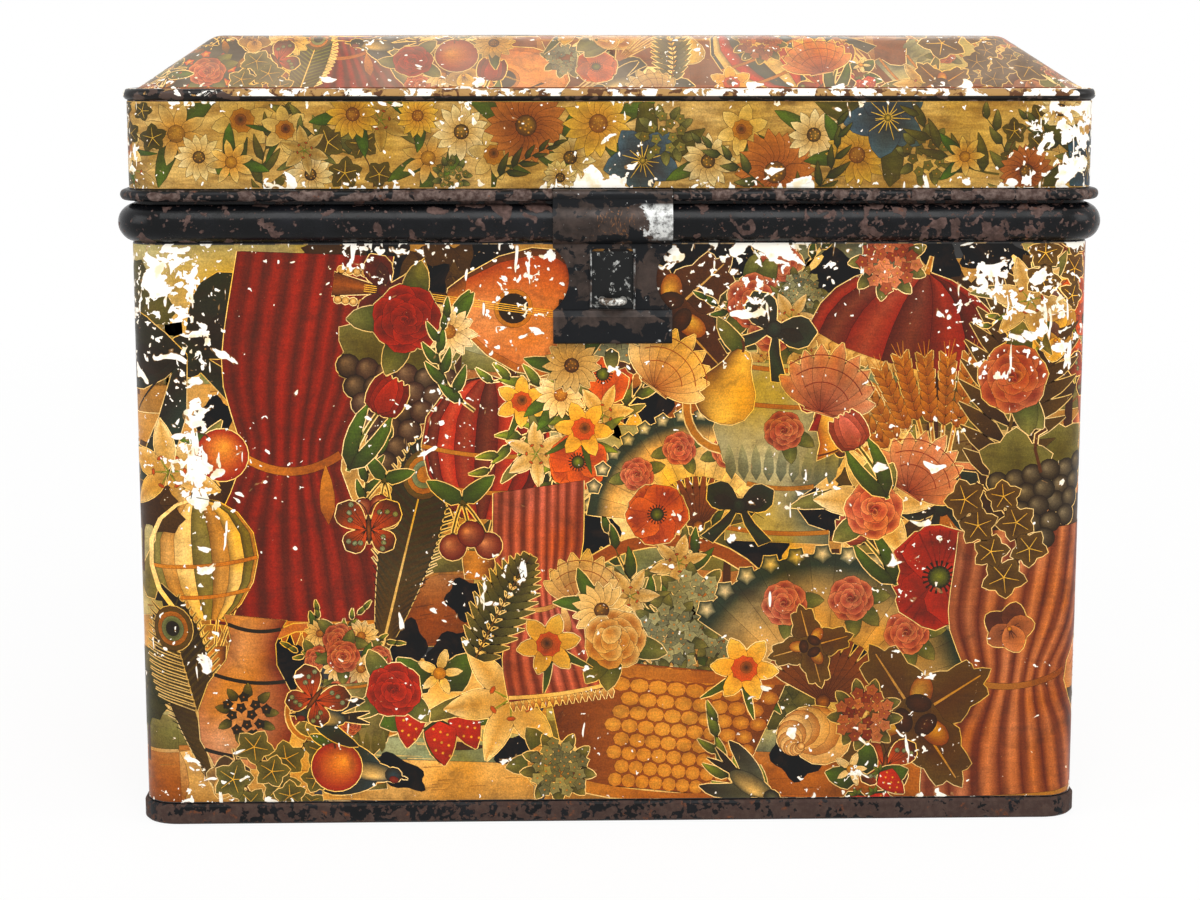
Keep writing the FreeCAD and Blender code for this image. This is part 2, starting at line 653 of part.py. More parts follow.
h = s["hinge_gauge"]
knuckle_in = s["hinge_pin_radius"] + s["hinge_pin_gap"]
knuckle_out = knuckle_in + h
leaf_y = half_d + s["bead_proud"] + s["hinge_bead_gap"]
axis_y = leaf_y + knuckle_out
axis_z = bead_top + s["lid_gap"] / 2
half_hinge = s["hinge_width"] / 2
half_middle = s["knuckle_middle"] / 2
notch_reach = knuckle_out + s["leaf_notch_gap"]
band_y = half_d + s["lid_proud"]


def stop_outline():
    """The stop lip of the lid leaf, which comes down on the body leaf when the lid is fully open."""
    lean = s["opening_angle"] - 90
    far, half_stop = knuckle_out + s["stop_lip"], s["stop_gauge"] / 2
    touch = h - knuckle_out + half_stop
    corners = []
    for out, aside in ((knuckle_in + h / 2, -half_stop), (far, -half_stop), (far, half_stop),
                       (knuckle_in + h / 2, half_stop)):
        side_y, side_z = touch + aside, -out
        corners.append(((axis_y + turned(side_y, lean + 90, "cos") - turned(side_z, lean + 90, "sin"),
                         axis_z + turned(side_y, lean + 90, "sin") + turned(side_z, lean + 90, "cos")),))
    return corners


def hinge_leaf(label, centre_x, on_lid):
    """A leaf: flat on its sheet, joggled out, then up or down to its knuckles."""
    way = 1 if on_lid else -1
    face = band_y if on_lid else half_d
    end_z = axis_z + s["leaf_lid_rise"] if on_lid else axis_z - s["leaf_body_drop"]
    bend = wire_z + curl_r + s["joggle_clear"] if on_lid else bead_low - s["joggle_clear"]
    low_bend = bend + way * s["joggle_drop"]
    body = new_body(label)
    leaf = new_sketch(body, "YZ_Plane", "leaf", centre_x)
    steps = [(leaf_y + h, axis_z), (leaf_y + h, bend), (face + h, low_bend), (face + h, end_z),
             (face, end_z), (face, low_bend), (leaf_y, bend), (leaf_y, axis_z)]
    add_outline(leaf, [(step,) for step in steps])
    tube = new_sketch(body, "YZ_Plane", "knuckle", centre_x)
    add_circle(tube, (axis_y, axis_z), knuckle_out)
    doc.recompute()
    pad(body, leaf, s["hinge_width"], middle=True)
    pad(body, tube, s["hinge_width"], middle=True)
    bore = new_sketch(body, "YZ_Plane", "bore", centre_x)
    add_circle(bore, (axis_y, axis_z), knuckle_in)
    doc.recompute()
    cut_through(body, bore)
    clear = new_sketch(body, "XZ_Plane", "knuckle_gaps", -(leaf_y - h))
    far_z, near_z = axis_z + way * notch_reach, axis_z - way * notch_reach
    low_z, high_z = (near_z, far_z) if on_lid else (far_z, near_z)
    middle, outer = half_middle + s["knuckle_gap"] / 2, half_hinge + s["knuckle_gap"]
    if on_lid:
        for side in (1, -1):
            edges = sorted((centre_x + side * (half_middle - s["knuckle_gap"] / 2), centre_x + side * outer),
                           key=float)
            add_outline(clear, rectangle(edges[0], low_z, edges[1], high_z))
    else:
        add_outline(clear, rectangle(centre_x - middle, low_z, centre_x + middle, high_z))
    doc.recompute()
    cut_through(body, clear, h + knuckle_out * 3, back=True)
    if on_lid:
        stop = new_sketch(body, "YZ_Plane", "stop", centre_x)
        add_outline(stop, stop_outline())
        doc.recompute()
        pad(body, stop, s["knuckle_middle"] - s["knuckle_gap"], middle=True)
    return body


def hinge_rivet_points(centre_x, on_lid):
    height = (axis_z + s["leaf_lid_rise"] - s["hinge_rivet_edge"] if on_lid
              else axis_z - s["leaf_body_drop"] + s["hinge_rivet_edge"])
    rise = s["hinge_rivet_inset"] if on_lid else s["hinge_rivet_inset"] * 2
    across = half_hinge - s["hinge_rivet_inset"]
    way = -1 if on_lid else 1
    return [(centre_x + across, height), (centre_x - across, height), (centre_x, height + way * rise)]


lid_points, body_points = [], []
for side, name in ((1, "right"), (-1, "left")):
    centre_x = half_w * s["hinge_place_share"] * side
    points = {True: hinge_rivet_points(centre_x, True), False: hinge_rivet_points(centre_x, False)}
    lid_points += points[True]
    body_points += points[False]
    for on_lid, part_name in ((True, "lid"), (False, "body")):
        leaf_body = hinge_leaf(f"hinge_{part_name}_leaf_{name}", centre_x, on_lid)
        holes(leaf_body, "rivet_holes", "XZ_Plane", points[on_lid], s["rivet_radius"], -(half_d - cut_start),
              cut_depth, back=True)
    pin = new_body(f"hinge_pin_{name}")
    pin_start, pin_length = centre_x - half_hinge - s["pin_head"], s["hinge_width"] + s["pin_head"] * 2
    for feature, start, length, size in (
            ("pin", pin_start, pin_length, s["hinge_pin_radius"]),
            ("head_low", pin_start, s["pin_head"], s["pin_head_radius"]),
            ("head_high", centre_x + half_hinge, s["pin_head"], s["pin_head_radius"])):
        section = new_sketch(pin, "YZ_Plane", feature, start)
        add_circle(section, (axis_y, axis_z), size)
        doc.recompute()
        pad(pin, section, length)
for owner, points in ((band, lid_points), (body_back, body_points)):
    holes(owner, "hinge_holes", "XZ_Plane", points, s["rivet_radius"], -(half_d - cut_start),
          cut_depth, back=True)


def back_rivets(label, points, inner, outer):
    """Rivets through the back, drawn for the front and turned round to the back."""
    body = rivets(label, "XZ_Plane", [(-point[0], point[1]) for point in points], inner, outer)
    body.Placement = FreeCAD.Placement(FreeCAD.Vector(), FreeCAD.Rotation(FreeCAD.Vector(0, 0, 1), 180))
    return body


back_rivets("hinge_lid_rivets", lid_points, band_y - g, band_y + h)
back_rivets("hinge_body_rivets", body_points, half_d - g, half_d + h)

# Drop handles on the ends: a wire bail held by two clips

bail_r = s["handle_wire_radius"]
pivot_x = half_w + s["handle_wall_gap"] + bail_r
pivot_z = s["handle_height"]
clip_in = bail_r + s["clip_gap"]
clip_out = clip_in + s["clip_gauge"]
half_clip = s["clip_height"] / 2


def clip_outline():
    """A strap: flat on the wall above and below, bent out around the bail."""
    strap_x = half_w + s["clip_gauge"]
    low, high, hub = pivot_z - half_clip, pivot_z + half_clip, (pivot_x, pivot_z)
    return [((half_w, low),), ((strap_x, low),), ((strap_x, pivot_z - clip_out),),
            ((pivot_x, pivot_z - clip_out), hub, 1), ((pivot_x, pivot_z + clip_out),),
            ((strap_x, pivot_z + clip_out),), ((strap_x, high),), ((half_w, high),),
            ((half_w, pivot_z + clip_in),), ((pivot_x, pivot_z + clip_in), hub, -1),
            ((pivot_x, pivot_z - clip_in),), ((half_w, pivot_z - clip_in),)]


clip_points = [(s["clip_offset"] * side, pivot_z + way * (half_clip - s["clip_rivet_inset"]))
               for side in (1, -1) for way in (1, -1)]
for name, turn in (("right", 0), ("left", 180)):
    facing = FreeCAD.Placement(FreeCAD.Vector(), FreeCAD.Rotation(FreeCAD.Vector(0, 0, 1), turn))
    clips = new_body(f"handle_clips_{name}")
    clips.AllowCompound = True
    for number, side in enumerate((1, -1)):
        strap_side = s["clip_offset"] * side - s["clip_width"] / 2
        strap = new_sketch(clips, "XZ_Plane", f"strap_{number}", strap_side)
        add_outline(strap, clip_outline())
        doc.recompute()
        pad(clips, strap, s["clip_width"])
    holes(clips, "rivet_holes", "YZ_Plane", clip_points, s["rivet_radius"], half_w - cut_start, cut_depth)
    clips.Placement = facing
    bail = new_body(f"handle_bail_{name}")
    path = new_sketch(bail, "YZ_Plane", "path", pivot_x)
    span, bend = s["handle_half_span"], s["handle_bend"]
    end_y = s["clip_offset"] - s["clip_width"] / 2 - s["handle_end"]
    low, shoulder = pivot_z - s["handle_drop"], bail_r * 2
    turn_y, turn_z = span - shoulder, pivot_z - shoulder
    route = [((end_y, pivot_z),), ((turn_y, pivot_z), (turn_y, turn_z), -1), ((span, turn_z),),
             ((span, low + bend), (span - bend, low + bend), -1), ((span - bend, low),),
             ((bend - span, low), (bend - span, low + bend), -1), ((-span, low + bend),),
             ((-span, turn_z), (-turn_y, turn_z), -1), ((-turn_y, pivot_z),), ((-end_y, pivot_z),)]
    add_outline(path, route)
    path.delGeometry(path.GeometryCount - 1)  # the wire's two ends don't meet
    section = new_sketch(bail, "XZ_Plane", "section", -end_y)
    add_circle(section, (pivot_x, pivot_z), bail_r)
    doc.recompute()
    grip = bail.newObject("PartDesign::AdditivePipe", f"handle_bail_{name}_wire")
    grip.Profile = section
    grip.Spine = path
    path.Visibility = section.Visibility = False
    bail.Placement = facing
    studs = rivets(f"handle_rivets_{name}", "YZ_Plane", clip_points, half_w - g, half_w + s["clip_gauge"])
    studs.Placement = facing
holes(body_wrap, "handle_holes", "YZ_Plane", clip_points, s["rivet_radius"])

# Windows in the body paper around the staple plate and the handle clips

margin = s["paper_window_gap"]
frame = new_sketch(body_paper, "XZ_Plane", "staple_window", half_d - g)
add_outline(frame, rectangle(-half_plate - margin, plate_low - margin,
                             half_plate + margin, plate_top + margin))
doc.recompute()
cut_through(body_paper, frame, cut_depth)
frames = new_sketch(body_paper, "YZ_Plane", "clip_windows")
for side in (1, -1):
    middle = s["clip_offset"] * side
    reach = s["clip_width"] / 2 + margin
    add_outline(frames, rectangle(middle - reach, pivot_z - half_clip - margin, middle + reach,
                                  pivot_z + half_clip + margin))
doc.recompute()
cut_through(body_paper, frames)

# Checks and files

doc.recompute()
for item in doc.Objects:
    if {"Invalid", "Error"} & set(item.State):
        raise RuntimeError(f"{item.Label}: {item.State}")
    if item.TypeId == "Sketcher::SketchObject" and not item.FullyConstrained:
        raise RuntimeError(f"{item.Label} is not fully constrained")
    if item.TypeId.startswith("PartDesign") and (item.Shape.isNull() or not item.Shape.isValid()):
        raise RuntimeError(f"{item.Label} has no valid shape")
hollows = {tool for item in doc.Objects if item.TypeId == "PartDesign::Boolean" for tool in item.Group}
nodes = [item for item in doc.Objects if item.TypeId == "PartDesign::Body" and item not in hollows]
os.makedirs("parts", exist_ok=True)
for node in nodes:
    node.Shape.exportStep(os.path.join("parts", node.Label + ".step"))
print(f"{len(nodes)} nodes, {sum(len(node.Shape.Solids) for node in nodes)} solids")
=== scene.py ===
import math
from functools import partial

import bpy
import numpy as np
from bpy.props import FloatProperty, FloatVectorProperty, IntProperty, PointerProperty
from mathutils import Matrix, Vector
from mathutils.bvhtree import BVHTree


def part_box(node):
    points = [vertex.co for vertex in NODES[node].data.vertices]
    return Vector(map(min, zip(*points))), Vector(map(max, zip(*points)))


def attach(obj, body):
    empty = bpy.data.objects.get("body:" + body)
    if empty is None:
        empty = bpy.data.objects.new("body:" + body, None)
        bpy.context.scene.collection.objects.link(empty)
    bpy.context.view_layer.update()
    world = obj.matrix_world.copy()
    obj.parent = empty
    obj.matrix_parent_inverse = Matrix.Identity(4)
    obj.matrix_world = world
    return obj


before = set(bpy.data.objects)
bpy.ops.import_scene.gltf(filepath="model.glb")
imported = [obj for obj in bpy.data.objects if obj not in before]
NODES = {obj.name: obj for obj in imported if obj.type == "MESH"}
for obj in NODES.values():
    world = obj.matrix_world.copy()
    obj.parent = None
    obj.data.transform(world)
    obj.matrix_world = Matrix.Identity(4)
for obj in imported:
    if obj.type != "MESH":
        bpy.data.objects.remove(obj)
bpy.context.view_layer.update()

bl_info = {
    "name": "Scrap-covered tin storage box",
    "version": (1, 0, 0),
    "blender": (4, 5, 0),
    "location": "View3D > Sidebar > Tin box",
    "description": "Japanned tin box with a covering of printed paper cut-outs, worn and varnished",
    "category": "Object",
}

MM = 0.001


def linear(code):
    """Linear light values of an sRGB hex colour."""
    parts = [int(code[k:k + 2], 16) / 255 for k in (1, 3, 5)]
    return tuple(c / 12.92 if c <= 0.04045 else ((c + 0.055) / 1.055) ** 2.4 for c in parts)


def shade(code):
    """Opaque colour of a socket or setting from a hex colour."""
    return (*linear(code), 1.0)


class BoxFinish(bpy.types.PropertyGroup):
    """Sizes and colours of the finish that a user would change."""

    japan: FloatVectorProperty(name="Japan", description="Black baked varnish of the bare tin", subtype="COLOR",
        size=4, default=shade("#08090b"), min=0, max=1)
    rust: FloatVectorProperty(name="Rust", description="Brown of the worn rims and fittings", subtype="COLOR", size=4,
        default=shade("#40302b"), min=0, max=1)
    backing: FloatVectorProperty(name="Paper backing", description="Bare paper where the print has flaked off",
        subtype="COLOR", size=4, default=shade("#fdf8ec"), min=0, max=1)
    varnish: FloatVectorProperty(name="Aged varnish", description="Amber of the old varnish over the prints",
        subtype="COLOR", size=4, default=shade("#e8ba3c"), min=0, max=1)
    losses: FloatProperty(name="Losses", description="How much of the print has flaked off", default=1.0, min=0,
        max=3)
    die_edge: FloatProperty(name="Cut edge", description="Pale paper left around each cut-out by its die",
        default=0.6 * MM, min=0, unit="LENGTH")
    ply: FloatProperty(name="Paper step", description="Height between one printed shape and the next",
        default=0.002 * MM, min=0, unit="LENGTH")
    seed: IntProperty(name="Seed", description="Layout of the small cut-outs", default=7, min=0)


# Inks of the printed cut-outs
INKS = {name: np.array(linear(code)) for name, code in {
    "cream": "#ead9b0", "paper": "#efe2c2", "tan": "#c6a873", "sand": "#d8bd88", "ochre": "#b98232",
    "gold": "#c79a45", "straw": "#d6a957", "honey": "#a96f2c", "brown": "#6b4527", "umber": "#3d2818",
    "black": "#17130f", "red": "#a52d1c", "crimson": "#7c1a1c", "scarlet": "#c8452c", "brick": "#97483a",
    "rust": "#9a5a2a", "azure": "#5489b0", "cobalt": "#1c3f68", "copper": "#cc9360",
    "rose": "#c9746a", "blush": "#dba78c", "pink": "#d98f8c", "plum": "#5a2c3e",
    "violet": "#6a5276", "navy": "#1c2f40", "teal": "#2d5558", "blue": "#2d6080", "sky": "#9db3a8",
    "slate": "#76847f", "mist": "#b9bfa8", "sage": "#8d9163", "olive": "#6a6b2e", "leaf": "#5f8433",
    "lime": "#93a648", "green": "#355a2c", "pine": "#24402a", "bronze": "#7c6a36", "orange": "#cd6b25",
    "flame": "#dd8a3a", "yellow": "#dcb145", "lemon": "#e8cf78", "white": "#f4ecd8", "grey": "#9a9583",
}.items()}


def ink(value):
    """An ink by name, or the colour itself."""
    return INKS[value] if isinstance(value, str) else np.asarray(value, float)


def blend(a, b, t):
    """Mixes of two inks, from the first at 0 to the second at 1."""
    a, b, t = ink(a), ink(b), np.asarray(t, float)
    return a + (b - a) * t[..., None]


def turning(angle):
    """Matrix that turns rows of points."""
    return np.array([[math.cos(angle), math.sin(angle)], [-math.sin(angle), math.cos(angle)]])


class Scrap:
    """A printed cut-out, drawn in millimetres as inked shapes one over another."""

    def __init__(self, seed=0):
        self.shapes = []
        self.rng = np.random.default_rng(seed)

    def put(self, points, colours, faces, flat, rim, cut, key):
        """Adds a shape: its shaded faces, its plain faces for the margin, and its rim with its key line's ink."""
        self.shapes.append((np.asarray(points, float), np.asarray(colours, float), faces, flat, rim, cut, key))

    def disc(self, x, y, rx, inner, outer, ry=None, angle=0.0, lobes=0, depth=0.0, segments=14, rings=3,
            lift=(0.0, 0.0), fade=1.0, cut=True, key="umber"):
        """A round shape, shaded from its inner to its outer ink; lobes ruffle its edge."""
        ry = rx if ry is None else ry
        turn = np.linspace(0, 2 * np.pi, segments, endpoint=False)
        reach = 1 + depth * np.cos(lobes * turn) if lobes else np.ones(segments)
        points, tones = [np.array([[lift[0] * rx, lift[1] * ry]])], [np.zeros(1)]
        for ring in range(1, rings + 1):
            part = ring / rings
            shift = 1 - part
            out_x = np.cos(turn) * rx * reach * part + lift[0] * rx * shift
            out_y = np.sin(turn) * ry * reach * part + lift[1] * ry * shift
            points.append(np.stack([out_x, out_y], 1))
            tones.append(np.full(segments, part ** fade))
        points, tones = np.concatenate(points), np.concatenate(tones)
        spin = turning(angle)
        points = points @ spin + (x, y)
        a = np.arange(segments)
        b = (a + 1) % segments
        faces = [np.stack([np.zeros(segments, int), 1 + a, 1 + b], 1)]
        for ring in range(1, rings):
            low, high = 1 + (ring - 1) * segments, 1 + ring * segments
            faces += [np.stack([low + a, high + a, high + b], 1), np.stack([low + a, high + b, low + b], 1)]
        rim = 1 + (rings - 1) * segments + a
        flat = np.stack([np.zeros(segments, int), rim, 1 + (rings - 1) * segments + b], 1)
        self.put(points, blend(inner, outer, tones), np.concatenate(faces), flat, rim, cut, key)

    def dot(self, x, y, r, inner, outer, segments=8, key="umber"):
        """A small round mark."""
        self.disc(x, y, r, inner, outer, cut=False, key=key, segments=segments, rings=1)

    def strip(self, left, right, colours, cut=True, key="umber"):
        """A band between two sides of equal count; colours is rows by columns of inks."""
        left, right = np.asarray(left, float), np.asarray(right, float)
        colours = np.array([[ink(hue) for hue in row] for row in colours])
        rows, columns = colours.shape[:2]
        across = np.linspace(0, 1, columns)[None, :, None]
        points = (left[:, None] * (1 - across) + right[:, None] * across).reshape(-1, 2)
        grid = np.arange(rows * columns).reshape(rows, columns)
        a, b, c, d = (part.ravel() for part in (grid[:-1, :-1], grid[1:, :-1], grid[1:, 1:], grid[:-1, 1:]))
        faces = np.concatenate([np.stack([a, b, c], 1), np.stack([a, c, d], 1)])
        a, b, c, d = grid[:-1, 0], grid[1:, 0], grid[1:, -1], grid[:-1, -1]
        flat = np.concatenate([np.stack([a, b, c], 1), np.stack([a, c, d], 1)])
        rim = np.concatenate([grid[:, 0], grid[-1, 1:], grid[-2::-1, -1], grid[0, -2:0:-1]])
        self.put(points, colours.reshape(-1, 3), faces, flat, rim, cut, key)

    def petal(self, x, y, angle, length, width, base="rose", tip="blush", middle=None, rows=6, belly=0.6, bend=0.0,
            blunt=0.5, vein=0.0, cut=True, key="umber"):
        """A petal or leaf from its base outward, shaded along its length and darker or lighter on its midrib."""
        t = np.linspace(0, 1, rows)
        half = width / 2 * np.sin(np.pi * t ** belly) ** blunt
        half[0] = half[-1] = width * 0.02
        turn = angle + bend * t
        step = length / (rows - 1)
        path = np.cumsum(np.stack([np.cos(turn), np.sin(turn)], 1) * step, 0)
        path = path - path[0] + (x, y)
        side = np.stack([-np.sin(turn), np.cos(turn)], 1) * half[:, None]
        edge = blend(base, tip, t)
        heart = edge * (1 - vein) if middle is None else blend(base, middle, t ** 0.7)
        self.strip(path - side, path + side, np.stack([edge * 1.04, heart, edge * 0.94], 1), cut, key)

    def stroke(self, points, start, end=None, colour="umber", tail=None, rows=12, cut=False, key=None):
        """A smooth line through points, from one width to another."""
        points = np.asarray(points, float)
        end = start if end is None else end
        knots = np.linspace(0, 1, len(points))
        t = np.linspace(0, 1, rows)
        if len(points) > 2:
            curve = np.polyfit(knots, points, min(3, len(points) - 1))
            path = np.stack([np.polyval(curve[:, k], t) for k in (0, 1)], 1)
        else:
            path = points[0] + (points[1] - points[0]) * t[:, None]
        run = np.gradient(path, axis=0)
        side = np.stack([-run[:, 1], run[:, 0]], 1) / np.maximum(np.hypot(*run.T), 1e-9)[:, None]
        half = (start + (end - start) * t)[:, None] / 2
        tones = blend(colour, colour if tail is None else tail, t)
        self.strip(path - side * half, path + side * half, np.stack([tones, tones], 1), cut, key)

    def join(self, other, x, y, size=1.0, angle=0.0):
        """Prints another motif as part of this one."""
        spin = turning(angle)
        self.shapes += [(points * size @ spin + (x, y), *rest) for points, *rest in other.shapes]

    def turned(self, profile, inner, outer, columns=7, light=0.35, cut=True, key="umber"):
        """A vessel seen from the side: heights and half widths, shaded round from a highlight."""
        profile = np.asarray(profile, float)
        across = np.linspace(-1, 1, columns)
        tone = np.clip(np.abs(across + light) / (1 + light), 0, 1) ** 1.5
        row = blend(inner, outer, tone)
        self.strip(np.stack([-profile[:, 1], profile[:, 0]], 1), np.stack([profile[:, 1], profile[:, 0]], 1),
            np.repeat(row[None], len(profile), 0), cut, key)


class Collage:
    """Cut-outs pasted one over another on a sheet laid out flat, in millimetres."""

    CELL, KEY = 1.0, 0.16

    def __init__(self, low, high, first, ply, edge):
        self.low, self.high = np.array(low, float), np.array(high, float)
        size = np.ceil((self.high - self.low) / self.CELL).astype(int) + 1
        self.depth, self.seen = np.zeros(size, int), np.full(size, -1)
        self.first, self.ply, self.edge = first, ply, edge
        self.parts, self.layers = [], []

    def under(self, outline):
        """The cells of the sheet that a closed outline covers."""
        spots = (outline - self.low) / self.CELL
        limit = np.array(self.seen.shape) - 1
        low = np.clip(np.floor(spots.min(0)).astype(int), 0, limit)
        high = np.clip(np.ceil(spots.max(0)).astype(int), 0, limit)
        rows = np.arange(low[1], high[1] + 1)
        (x, y), (nx, ny) = spots.T, np.roll(spots, -1, 0).T
        row, side = np.nonzero((y > rows[:, None]) != (ny > rows[:, None]))
        at = x[side] + (rows[row] - y[side]) * (nx[side] - x[side]) / (ny[side] - y[side])
        turns = np.zeros((len(rows), high[0] - low[0] + 2), int)
        np.add.at(turns, (row, np.clip(np.ceil(at).astype(int) - low[0], 0, turns.shape[1] - 1)), 1)
        j, i = np.nonzero(np.cumsum(turns[:, :-1], 1) % 2)
        edge = np.clip(np.concatenate([np.floor(spots), np.ceil(spots)]).astype(int), 0, limit)
        return np.concatenate([i + low[0], edge[:, 0]]), np.concatenate([j + low[1], edge[:, 1]])

    def lay(self, *parts):
        """Lays parts of one sheet of paper; each is points, colours, faces and an outline."""
        start = len(self.parts)
        for part in parts:
            self.seen[self.under(part[3])] = len(self.parts)
            self.parts.append(part)
        self.layers.append(range(start, len(self.parts)))

    def barest(self, rng, low, high, tries=40):
        """The least covered of some random spots in a part of the sheet."""
        spots = rng.uniform(low, high, (tries, 2))
        cells = np.clip(((spots - self.low) / self.CELL).astype(int), 0, np.array(self.seen.shape) - 1)
        return spots[self.depth[cells[:, 0], cells[:, 1]].argmin()]

    def paste(self, scrap, x, y, size=1.0, angle=0.0, mirror=False, age=0.12, tone=1.0, trimmed=True):
        """Pastes a scrap at a place: its pale die-cut margin first, then each shape with its dark key line."""
        spin = turning(angle)
        shapes = []
        for points, colours, faces, flat, rim, cut, key in scrap.shapes:
            points = points * ((-size if mirror else size), size) @ spin + (x, y)
            if mirror:
                rim = rim[::-1]
            run = np.roll(points[rim], -1, 0) - np.roll(points[rim], 1, 0)
            out = np.stack([run[:, 1], -run[:, 0]], 1) / np.maximum(np.hypot(*run.T), 1e-9)[:, None]
            ahead = np.roll(points[rim], -1, 0)
            area = np.sum(points[rim][:, 0] * ahead[:, 1] - points[rim][:, 1] * ahead[:, 0])
            shapes.append((points, colours, faces, flat, rim, cut, key, out if area > 0 else -out))
        margins = []
        for points, _, _, flat, rim, cut, _, out in shapes:
            if cut:
                self.depth[self.under(points[rim])] += 1
                if trimmed:
                    wide = points.copy()
                    wide[rim] += out * self.edge
                    margins.append((wide, np.tile(ink("paper") * tone, (len(wide), 1)), flat, wide[rim]))
        if margins:
            self.lay(*margins)
        for points, colours, faces, _, rim, _, key, out in shapes:
            inked = (colours * (1 - age) + ink("tan") * age) * tone
            if key is None:
                self.lay((points, inked, faces, points[rim]))
                continue
            line = points[rim] + out * self.KEY
            count, k = len(rim), np.arange(len(rim))
            inner, outer, after = len(points) + k, len(points) + count + k, (k + 1) % count
            ring = np.concatenate([np.stack([inner, outer, outer[after]], 1),
                np.stack([inner, outer[after], inner[after]], 1)])
            self.lay((np.concatenate([points, points[rim], line]),
                np.concatenate([inked, np.tile(ink(key) * tone, (2 * count, 1))]), np.concatenate([faces, ring]),
                line))

    def cut_sheet(self, low=-np.inf, high=np.inf):
        """What shows of the layers whose middle lies in a range along the sheet, as joined arrays."""
        shown = set(np.unique(self.seen).tolist())
        top = np.full(self.seen.shape, float(self.first))
        points, heights, colours, faces, count = [], [], [], [], 0
        for layer in self.layers:
            kept = [self.parts[k] for k in layer if k in shown and low <= self.parts[k][0][:, 0].mean() < high]
            if not kept:
                continue
            cells = [self.under(part[3]) for part in kept]
            height = max(top[cell].max() for cell in cells) + self.ply
            for cell, (flat, tones, corners, _) in zip(cells, kept):
                top[cell] = height
                points.append(np.clip(flat, self.low, self.high))
                heights.append(np.full(len(flat), height))
                colours.append(tones)
                faces.append(corners + count)
                count += len(flat)
        return np.concatenate(points), np.concatenate(heights), np.concatenate(colours), np.concatenate(faces)


def split(points, values, faces, along, at):
    """Splits triangles along a straight line of the flat sheet; values go with the points."""
    side = points @ np.asarray(along, float) - at
    side[np.abs(side) < 1e-4] = 0
    over = side[faces] > 0
    under = side[faces] < 0
    crossing = over.any(1) & under.any(1)
    if not crossing.any():
        return points, values, faces
    kept, mixed = faces[~crossing], faces[crossing]
    sides = side[mixed]
    signs = np.sign(sides)
    lone = np.where((signs > 0).sum(1) == 1, (signs > 0).argmax(1), (signs < 0).argmax(1))
    rows = np.arange(len(mixed))
    a, b, c = mixed[rows, lone], mixed[rows, (lone + 1) % 3], mixed[rows, (lone + 2) % 3]

    def meet(first, second):
        t = (side[first] / (side[first] - side[second]))[:, None]
        return points[first] * (1 - t) + points[second] * t, values[first] * (1 - t) + values[second] * t

    (p, p_value), (q, q_value) = meet(a, b), meet(a, c)
    count = len(points)
    p_at, q_at = count + rows, count + len(rows) + rows
    points = np.concatenate([points, p, q])
    values = np.concatenate([values, p_value, q_value])
    cut = np.concatenate([np.stack([a, p_at, q_at], 1), np.stack([p_at, b, c], 1), np.stack([p_at, c, q_at], 1)])
    area = np.cross(points[cut[:, 1]] - points[cut[:, 0]], points[cut[:, 2]] - points[cut[:, 0]])
    return points, values, np.concatenate([kept, cut[np.abs(area) > 1e-7]])


class Wrap:
    """Lays flat sheets around the rounded plan of the box, from the middle of the front both ways."""

    STEPS = 10

    def __init__(self, half_x, half_y, corner):
        turn = np.linspace(0, np.pi / 2, self.STEPS + 1)
        x, y, nx, ny, far = [0.0], [-half_y], [0.0], [-1.0], [0.0]
        in_x, in_y = half_x - corner, half_y - corner
        for centre, start in (((in_x, -in_y), 0), ((in_x, in_y), np.pi / 2)):
            for angle in turn + start:
                nx.append(math.sin(angle))
                ny.append(-math.cos(angle))
                x.append(centre[0] + corner * nx[-1])
                y.append(centre[1] + corner * ny[-1])
                far.append(far[-1] + math.hypot(x[-1] - x[-2], y[-1] - y[-2]))
        x.append(0.0)
        y.append(half_y)
        nx.append(0.0)
        ny.append(1.0)
        far.append(far[-1] + in_x)
        mirrored = [np.array(value) for value in (x, y, nx, ny, far)]
        flip = (-1, 1, -1, 1, -1)
        rounds = [np.concatenate([sign * value[:0:-1], value]) for sign, value in zip(flip, mirrored)]
        self.x, self.y, self.nx, self.ny, self.far = rounds
        self.folds = self.far[1:-1]
        self.corner_start = far[1]

    def place(self, points, heights):
        """Points of the sheet at their heights over the wall, and their normals."""
        u, z = points[:, 0], points[:, 1]
        x, y, nx, ny = (np.interp(u, self.far, value) for value in (self.x, self.y, self.nx, self.ny))
        size = np.hypot(nx, ny)
        normal = np.stack([nx / size, ny / size, np.zeros(len(u))], 1)
        return np.stack([x + nx * heights, y + ny * heights, z], 1), normal

    def fold(self, points, values, faces):
        """Cuts the faces where the wall turns."""
        for at in self.folds:
            points, values, faces = split(points, values, faces, (1, 0), at)
        return points, values, faces


